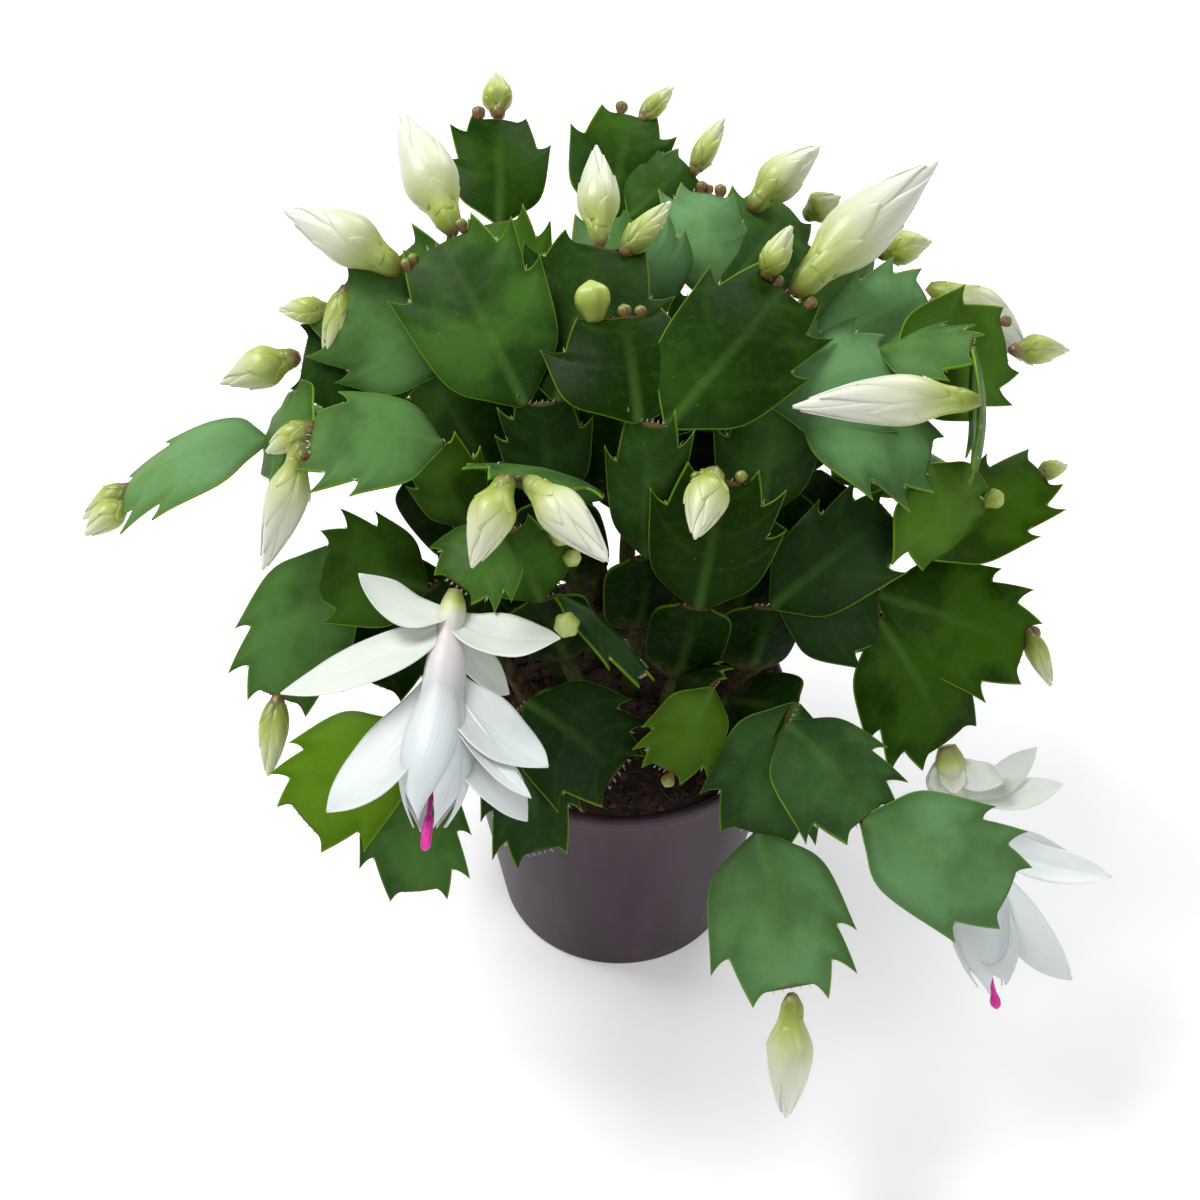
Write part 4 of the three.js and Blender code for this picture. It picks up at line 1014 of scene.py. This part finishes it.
# %% Rows of the buds
LARGE_BUDS = [
    ["bud_01", "S1", 1.0, 0.15, [-60, 81, 230], 7.4],
    ["bud_02", "S1", 0.95, -0.66, [-90, 51, 219], 7.0],
    ["bud_03", "S5", 1.0, 0, [-109, 29, 178], 5.5],
    ["bud_04", "A4", 0.93, 0.85, [57, 102, 206], 6.0, 0.1],
    ["bud_05", "A6", 1.0, 0.3, [64, 98, 192], 4.5, 0.25],
    ["bud_06", "S6", 1.0, 0.1, [85, 69, 222], 8.4],
    ["bud_07", "S7", 1.0, 0, [-7, 82, 219], 5.6],
    ["bud_08", "R1", 1.0, 0, [89, 81, 188], 5.0],
    ["bud_09", "R2", 1.0, -0.15, [115, 50, 168], 6.2, 0.4],
    ["bud_10", "R4", 1.0, 0.1, [123, 41, 180], 4.0],
    ["bud_11", "R6", 0.45, 1.0, [42, -10, 202], 6.5, -0.3],
    ["bud_12", "C1", 1.0, 0, [-93, -26, 161], 5.4],
    ["bud_13", "C5", 1.0, -0.25, [-37, -49, 184], 5.6, 0.25],
    ["bud_14", "C5", 1.0, 0, [-4, -55, 192], 5.6],
    ["bud_15", "C10", 1.0, -0.15, [17, -43, 188], 5.3, 0.35],
    ["bud_16", "RB3", 1.0, 0, [44, -114, 41], 6.0],
    ["bud_17", "A1", 1.0, 0, [-37, 138, 209], 4.5],
    ["bud_18", "q4", 1.0, 0.1, [-38, 150, 90], 6.0],
    ["bud_19", "o4", 1.0, -0.1, [-106, 84, 100], 6.5],
    ["bud_20", "r4", 1.0, 0, [50, 150, 88], 5.5],
]
SMALL_BUDS = [
    ["S7", 0.3, [13, 62, 214], 3.6],
    ["S3", -0.2, [-92, 38, 196], 3.6],
    ["S3", 0.3, [-79, 26, 188], 3.6],
    ["A2", 0.2, [16, 138, 204], 3.0],
    ["A3", 0.2, [31, 127, 200], 3.4],
    ["S6", -0.35, [44, 42, 220], 3.6],
    ["C1", -0.3, [-92, -4, 182], 3.6],
    ["C2", 0.3, [-146, 1, 148], 4.0],
    ["C2", -0.1, [-150, 14, 142], 3.4],
    ["L8", 0, [-94, -54, 112], 3.8],
    ["R12", 0.3, [120, -18, 108], 3.0],
    ["R9", 0, [124, 24, 153], 2.6],
    ["u3", 0, [-96, 38, 84], 3.6],
    ["r5", 0, [74, 96, 112], 3.4],
    ["t4", 0, [114, 74, 92], 3.4],
]
BUD_PROFILE = [[0, 0.22], [0.08, 0.48], [0.17, 0.52], [0.38, 0.98], [0.62, 0.84], [0.86, 0.40],
               [1.0, 0.07]]
SMALL_PROFILE = [[0, 0.35], [0.35, 1.0], [0.7, 0.75], [1.0, 0.15]]

# the largest buds are the ripest, and nearly white; bow bends one sideways as a share of its length
BOW = {"bud_09": 0.13, "bud_02": 0.05, "bud_04": 0.05, "bud_16": 0.04, "bud_12": -0.03}


def bud_seat(s, u, v, tip, extra=0.0):
    """Where a bud's foot starts: just off the segment's edge, further if it turns away from it."""
    edge = surface(s, u, v)
    way = unit(tip - edge)
    out = s["along"] if u >= 1 else s["side"] * np.sign(v)
    straight = max(float(way @ out), 0.0)
    return edge + out * (2.0 * (1 - straight**2) + extra) + way * 0.5 * straight


class Bullet:
    """The frame of a bud: a foot, a bowed axis towards the tip, and a radius along it."""

    def __init__(self, start, tip, radius, profile, bow=0.0):
        self.start, self.radius, self.profile = start, radius, profile
        self.length = np.linalg.norm(tip - start)
        self.along = (tip - start) / self.length
        u = np.cross([0, 0, 1.0], self.along)
        self.u = unit(u) if np.linalg.norm(u) > 0.1 else np.array([1.0, 0, 0])
        self.w = np.cross(self.along, self.u)
        up = np.array([0, 0, 1.0]) - self.along * self.along[2]
        self.bow = (unit(up) if np.linalg.norm(up) > 0.2 else self.u) * bow * self.length

    def skin(self, t, angle, lift, ribs=0.0):
        """axis(t) + (R(t) + lift)(u cos a + w sin a), with the axis bowed by 4 bow t(1-t)."""
        t, angle, lift = np.broadcast_arrays(t, angle, lift)
        r = self.radius * flow(self.profile, t) * (1 + ribs * np.cos(5 * angle)) + lift
        centre = (self.start + self.along * (self.length * t)[..., None]
                  + self.bow * (4 * t * (1 - t))[..., None])
        return centre + r[..., None] * spoke(self.u, self.w, angle)

    def patch(self, t0, t1, middle, spread, lift, flare, power, grid=(15, 9), sink=0.5, keel=0.0):
        """A scale from t0 to t1. Half width: spread (1 - tau^power). Its border dips by sink."""
        tau, a = np.linspace(0, 1, grid[0])[:, None], np.linspace(-1, 1, grid[1])[None, :]
        t = t0 + (t1 - t0) * tau
        taper = np.clip(1 - tau**power, 0.012, 1)
        angle = middle + spread * taper * a + 0.5 * t
        edge = np.abs(a) ** 4
        rise = (lift * np.minimum(tau / 0.14, 1) * (1 - edge) - sink * edge * (1 - 0.75 * tau)
                + flare * tau**3 + keel * (1 - np.abs(a)) ** 2 * tau)
        near = (1 - np.abs(a)) * taper * spread * self.radius
        front = self.skin(t, angle, rise)
        back = self.skin(t, angle, rise - 0.45 * (1 - 0.5 * tau))
        return front, back, {"along": t, "edge": near, "across": a}


def add_patch(heap, bullet, ripe, *args, **kwargs):
    """Adds one scale of a bud."""
    front, back, marks = bullet.patch(*args, **kwargs)
    heap.add_sheet(front, back, ripe=ripe, **marks)


FIFTH, QUARTER, THIRD = 1.2566, 1.5708, 2.0944      # of a full turn


def make_bud(heap, start, tip, radius, ripe, seed, profile, bow, rows=26):
    """Core and foot, then three rings of scales: full length, half length, short and broad."""
    b = Bullet(start, tip, radius, profile, bow)
    t, angle = np.linspace(0, 1, rows)[:, None], circle(20)[None, :]
    foot = np.clip(1 - t / 0.22, 0, 1)
    sunk = -0.42 * np.clip((t - 0.16) / 0.1, 0, 1) * np.clip((1 - t) * 5, 0, 1)
    heap.add(*spindle(b.skin(t, angle + 0.5 * t, sunk, 0.09 * foot)),
             along=np.append(np.repeat(t[:, 0], 20), [0, 1]), edge=NO_EDGE, ripe=ripe)
    phase = LAP * draw(seed, 51)
    low = 0.15 if profile is BUD_PROFILE else 0.12
    for k in range(5):          # the tips of the long scales part a little
        add_patch(heap, b, ripe, low + 0.12, 0.86 + 0.12 * draw(seed + k, 52), phase + k * FIFTH,
                  0.90, 0.08, 0.35 * ripe * draw(seed + k, 53), 2.3, keel=0.12)
    for k in range(4):
        add_patch(heap, b, ripe, low + 0.04, 0.55 + 0.14 * draw(seed + k, 54),
                  phase + 0.5 + k * QUARTER, 1.02, 0.22, 0.15, 2.0, keel=0.15)
    for k in range(3):
        add_patch(heap, b, ripe, low - 0.03, 0.30 + 0.12 * draw(seed + k, 55),
                  phase + 1.1 + k * THIRD, 1.20, 0.32, 0.25 * draw(seed + k, 56), 1.7, keel=0.2)


# %% The twenty large buds
for name, source, u, v, tip, radius, *extra in LARGE_BUDS:
    tip = np.array(tip, float)
    start = bud_seat(segments[source], u, v, tip, *extra)
    ripe = float(np.clip((np.linalg.norm(tip - start) - 17) / 20, 0.15, 1))
    bud = Heap()
    make_bud(bud, start, tip, radius, ripe, tip[0] * 0.7 + tip[1], BUD_PROFILE, BOW.get(name, 0.02))
    bud.build(name + "_scales", BUD, replaces=name, slot="bud")
print("large buds:", len(LARGE_BUDS))

# %% The small buds, and round ones that have hardly begun
# place (segment, along, across), the way it points out of the segment's plane, and its radius
ROUND_BUDS = [
    ("S8", 1.0, -0.36, 0.4, 4.9), ("S8", 0.99, 0.02, 0.3, 2.0), ("S8", 0.99, 0.22, 0.3, 1.7),
    ("C7", 0.28, -0.7, 0.0, 3.5), ("n3", 0.75, 0.8, 1.2, 2.8), ("n3", 0.42, 0.85, 1.2, 2.5),
    ("C5", 1.0, 0.3, -0.6, 2.6), ("C5", 0.98, 0.12, -0.9, 2.2),
    ("R8", 0.75, 0.9, 0.2, 2.8), ("R12", 0.98, 0.28, 0.3, 2.0), ("C10", 0.96, -0.3, 0.4, 2.0),
    ("C10", 1.0, 0.25, 0.2, 1.6), ("C10", 0.95, -0.42, 0.2, 1.5), ("L2", 1.0, 0.2, 0.3, 1.9),
    ("S1", 0.93, -0.62, 0.3, 1.9), ("S1", 0.95, -0.5, 0.5, 1.6), ("S1", 1.0, 0.3, 0.2, 1.8),
    ("A2", 1.0, -0.2, 0.2, 2.0), ("A1", 1.0, -0.4, 0.2, 2.2), ("A4", 1.0, 0.3, 0.3, 1.9),
    ("A4", 1.0, -0.1, 0.4, 1.7), ("A4", 1.0, 0.05, 0.2, 1.5), ("A6", 1.0, -0.3, 0.3, 1.8),
    ("R4", 1.0, -0.35, 0.2, 1.7), ("S6", 1.0, 0.38, 0.2, 1.9), ("S6", 0.98, -0.18, 0.3, 1.6),
    ("R2", 1.0, 0.2, 0.3, 1.6), ("C1", 1.0, 0.3, 0.2, 1.5), ("q3", 1.0, 0.3, 0.3, 1.8),
    ("o3", 1.0, -0.3, 0.3, 1.7), ("r3", 1.0, 0.25, 0.3, 1.9), ("t3", 1.0, -0.3, 0.3, 1.8),
    ("u2", 1.0, 0.3, 0.3, 1.6), ("w3", 1.0, 0.1, 0.2, 2.2),
]
ROUND_PROFILE = [[0, 0.42], [0.18, 0.62], [0.55, 1.0], [0.85, 0.72], [1.0, 0.12]]
small = Heap()
for source, v, tip, radius in SMALL_BUDS:
    start = surface(segments[source], 0.97, v)
    make_bud(small, start, np.array(tip, float), radius, 0.22, tip[0] + 0.4 * tip[1],
             SMALL_PROFILE, 0.02, 20)
for source, u, v, lean, radius in ROUND_BUDS:
    s = segments[source]
    out = s["along"] if u > 0.9 else s["side"] * np.sign(v)
    way = unit(out + lean * s["face"])
    start = surface(s, u, v) - way * 0.6
    b = Bullet(start, start + way * radius * 2.3, radius, ROUND_PROFILE)
    t, angle = np.linspace(0, 1, 15)[:, None], circle(30)[None, :]
    # along runs through the ramp's greens on the larger ones, and through its browns on the others
    low, span = (0.16, 0.60) if radius > 2.3 else (-0.03, 0.26)
    dent = -0.075 * radius * (1 + np.cos(6 * angle)) * np.sin(np.pi * np.clip(t, 0.1, 1))
    small.add(*spindle(b.skin(t, angle, dent)), edge=NO_EDGE,
              along=np.append(np.repeat(low + span * t[:, 0], 30), [low, low + span]))
small.build("small_buds", BUD, slot="bud")
print("small buds:", len(SMALL_BUDS), "round buds:", len(ROUND_BUDS))

# %% [markdown]
# ## Open flowers
# A flower hangs by an olive foot, and the right one's has five small lime scales. Its tube widens
# downwards, outer tepals bend back from it, and the inner ones form a bell round the stamens and
# the magenta style. A tepal is a sheet along a quadratic curve: narrow at the root, widest past its
# middle, with raised edges and a pointed tip.

# %% Rows of the flowers
# What a flower grows from, its style's tip in millimetres, how far its foot is swollen, its scales,
# how white it is, which on the right one is painted light against the shade it hangs in, and radii
# down its style's head. A tepal is the depth of its root below the foot, its tip (right, front,
# down) as seen from the foot, and its width.
FLOWERS = {
    "flower_left": {
        "from": "C6", "style": [-48, -96, 134], "foot": 0.0, "scales": 0, "milk": 0.1,
        "head": [0.9, 1.05, 1.1, 1.15, 1.15, 1.15, 1.1],
        "tepals": [
            [5.6, [-24, 4, -1], 12], [7, [-39, 6, 32], 14], [7, [28, 6, 12], 15],
            [6, [10, -10, 6], 11], [9, [16, -10, 23], 13], [22, [-24, 6, 60], 16],
            [22, [28, 6, 45], 16], [24, [24, 0, 57], 14], [24, [25, 12, 54], 7],
            [24, [-13, -14, 46], 13],
        ],
    },
    "flower_right": {
        # this flower's high whiteness is painted light: its tepals hang in the plant's shade
        "from": "R13", "style": [105, -81, 43], "foot": 0.45, "scales": 5, "milk": 0.8,
        "head": [0.55, 0.55, 0.6, 0.7, 1.0, 1.35, 1.3],
        "tepals": [
            [12, [25, -2, 6], 9], [12, [29, 4, 16], 10], [24, [37, 6, 44], 11],
            [22, [32, -8, 41], 10], [28, [3, 10, 66], 13], [28, [21, 6, 70], 13],
            [5, [-6, 5, 12], 8], [5, [12, 8, 12], 9], [24, [-12, -12, 50], 14],
            [24, [1, -10, 65], 13],
        ],
    },
}
TUBE_PROFILE = [[0, 1.6], [0.05, 3.0], [0.12, 3.4], [0.17, 3.1], [0.27, 4.9], [0.42, 5.7],
                [0.60, 7.9], [0.74, 7.5]]


# %% The frame of a flower and one tepal
def flower_frame(rows):
    """Foot, way down, right and front of a flower that hangs from a segment's end."""
    s, tip = segments[rows["from"]], np.array(rows["style"], float)
    along = unit(tip - surface(s, 1.0, 0))
    foot = bud_seat(s, 1.0, 0, tip, 0.2)
    right = unit(np.array([1.0, 0, 0]) - along * along[0])
    front = np.cross(right, along)
    front = -front if front[1] > 0 else front
    return {"foot": foot, "along": along, "right": right, "front": front,
            "length": np.linalg.norm(tip - foot), "milk": rows["milk"]}


WIDTHS = [[0, 0.42], [0.2, 0.70], [0.42, 0.95], [0.62, 1.0], [0.8, 0.82], [0.93, 0.40], [1, 0.03]]


def add_tepal(heap, f, s0, tip, width, seed, cup=1.0, white=1.0):
    """Sheet c(t) + across h(t) a + up (cup a^2 + wave - keel), with a quadratic curve c."""
    at = lambda x, y, d: f["foot"] + f["right"] * x + f["front"] * y + f["along"] * d
    p0, p2 = at(0, 0, s0), at(*tip)
    reach = np.linalg.norm(p2 - p0)
    p1 = at(tip[0] * 0.35, tip[1] * 0.35, s0 + 0.55 * max(tip[2] - s0, 0.4 * reach))
    t, a = np.linspace(0, 1, 30)[:, None], np.linspace(-1, 1, 17)[None, :]
    c = (1 - t) ** 2 * p0 + 2 * t * (1 - t) * p1 + t**2 * p2
    way = unit(2 * (1 - t) * (p1 - p0) + 2 * t * (p2 - p1))
    facing = f["front"] * 0.8 - f["along"] * 0.6
    up = unit(facing - way * (way @ facing)[:, None])
    across = unit(np.cross(way, up))
    w = flow(WIDTHS, t)
    p = [draw(seed, q) * LAP for q in (61, 62, 63)]
    wave = 0.55 * np.sin(5.2 * t + p[0]) * a + 0.45 * np.sin(8.5 * t + p[1]) * a**2
    wave = wave * np.minimum(w * 1.2, 1)
    curl = 1.5 * t**4 * (draw(seed, 64) - 0.35)
    lift = (cup * (1.1 * w * a**2 - 0.8 * w) + wave * np.abs(a)
            - 0.28 * np.exp(-(a / 0.1) ** 2) * w + curl)
    half = width * 0.5 * w * (1 + 0.035 * np.sin(11 * t + p[2]) * np.sign(a))
    sheet = c[:, None] + across[:, None] * (half * a)[..., None] + up[:, None] * lift[..., None]
    thick = (0.10 + 0.26 * (1 - a**2) * (1 - 0.55 * t))[..., None] * up[:, None]
    start = 0.13 if reach < 20 else 0.24       # the shortest are the outermost, and still greenish
    hue = np.clip(start + 0.02 * s0 / 5 + white * 0.8 * t * (1 if s0 > 15 else 1.2), 0, 1)
    heap.add_sheet(sheet + thick, sheet - thick, along=hue, edge=(1 - np.abs(a)) * half, across=a,
                   cream=float(s0 < 15), milk=f["milk"])


# %% Tube, bell, stamens and style
BELL = [[0, 0.50], [0.19, 0.62], [0.46, 0.95], [0.62, 1.0], [0.82, 0.78], [1.0, 0.32]]
# share of the way down the tube, and the place on the ramp
HUES = [[0, 0.04, 0.08, 0.12, 0.25, 0.62], [0, 0.07, 0.15, 0.22, 0.34, 0.62]]
GOLDEN = 2.39996                 # the angle that spreads the stamens evenly


def open_flower(name, rows, seed):
    """Builds one flower's white parts and its style, and returns the flower's frame."""
    f, heap = flower_frame(rows), Heap()
    down = lambda t: f["foot"] + f["along"] * f["length"] * np.asarray(t, float)[..., None]
    # outer wall of the tube, from the foot to the mouth, and 14 rings back inside
    t = np.concatenate([np.linspace(0, 0.62, 34), np.linspace(0.62, 0.36, 14)])
    r = flow(TUBE_PROFILE, t)
    r[34:] -= 0.9
    r *= 1 + rows["foot"] * np.clip(1 - t / 0.17, 0, 1)
    r[-1] = 0.8
    a = circle(36)
    ribs = 1 + 0.05 * np.cos(5 * a) * np.clip(1 - t / 0.2, 0, 1)[:, None]
    rings = down(t)[:, None] + (r[:, None] * ribs)[..., None] * spoke(f["right"], f["front"], a)
    heap.add(*spindle(rings), along=np.append(np.repeat(np.interp(t, *HUES), 36), [0, 0.4]),
             milk=0.8, edge=NO_EDGE)
    bell = Bullet(down(0.30), down(0.93), 8.7, BELL)
    facing = np.arctan2(f["front"] @ bell.w, f["front"] @ bell.u)
    for k in range(6):          # three broad tepals outside, the first in front, and three inside
        outer = k < 3
        front, back, marks = bell.patch(
            0.0, 1.0 - 0.06 * draw(seed + k, 71), facing + (k if outer else k + 0.5) * THIRD,
            1.22 if outer else 1.0, 0.45 if outer else 0.10, 0.6 * draw(seed + k, 72), 3.2,
            (28, 17), 0.15, 0.1)
        marks["along"] = 0.30 + 0.62 * marks["along"]
        heap.add_sheet(front, back, milk=1.0, **marks)
    for k, (s0, tip, width) in enumerate(rows["tepals"]):
        add_tepal(heap, f, s0, tip, width * 1.04, seed * 3.1 + k)
    for k in range(rows["scales"]):
        turn = 0.5 + k * FIFTH
        add_tepal(heap, f, 2.2, [7.2 * np.cos(turn), 7.2 * np.sin(turn), 12.4], 7.0, seed + 9 + k,
                  0.5, 0.07)
    # thin filaments inside the bell, each with its anther
    for k in range(18):
        far, out = 0.72 + 0.10 * draw(seed + k, 81), spoke(f["right"], f["front"], k * GOLDEN)
        q = np.linspace(0, 1, 8)
        path = down(0.48 + (far - 0.48) * q) + out * (3.0 + 1.6 * np.sin(2.4 * q))[:, None]
        heap.add(*spindle(tube(path, [0.16] * 8, 4)), along=0.6, edge=NO_EDGE)
        head = path[-1] + f["along"] * np.linspace(-0.3, 1.5, 5)[:, None]
        heap.add(*spindle(tube(head, [0.2, 0.5, 0.55, 0.42, 0.1], 6)), along=0.17, edge=NO_EDGE)
    heap.build(name + "_tepals", PETAL, replaces=name, slot="petal_white")
    # the style is a thin rod with a thicker grooved head
    t = np.concatenate([np.linspace(0.405, 0.865, 16), np.linspace(0.88, 0.985, 7), [0.994, 1.0]])
    radii = np.concatenate([np.full(16, 0.60), rows["head"], [0.8, 0.4]])
    grooves = np.where(t > 0.87, 0.16, 0.02)[:, None] * np.cos(7 * circle(28))
    axis = down(t)[:, None]
    style = Heap()
    style.add(*spindle(axis + (tube(down(t), radii, 28) - axis) * (1 + grooves)[..., None]))
    style.build(name + "_style_head", STYLE, replaces=name + "_style", slot="stigma")
    return f


for k, (name, rows) in enumerate(FLOWERS.items()):
    f = open_flower(name, rows, 1.3 + 2.1 * k)
    print(name, "hangs", round(float(f["length"]), 1), "mm")

# %% [markdown]
# ## Floor
# The floor is plain and pale. It is part of the studio, not of the plant.

# %% Floor
def floor_finish():
    """Pale and matt, with the faintest unevenness."""
    f = Finish("pale_floor", Emission_Color=(1, 1, 1, 1), Emission_Strength=0.27)
    fine = f.noise(3, 2, 0.5)
    f.set(Base_Color=f.blend((0.86, 0.86, 0.87), (0.90, 0.90, 0.90), f.fade(fine, 0.3, 0.7)),
          Roughness=0.75 + fine * 0.1)
    return f.material


span = np.linspace(-6, 6, 13)
gx, gy = np.meshgrid(span, span, indexing="ij")
mesh = bpy.data.meshes.new("studio_floor")
mesh.from_pydata(np.stack([gx, gy, np.full_like(gx, -0.0003)], -1).reshape(-1, 3).tolist(), [],
                 lattice(13, 13)[:, ::-1].tolist())
mesh.materials.append(floor_finish())
floor = placed("studio_floor", mesh)
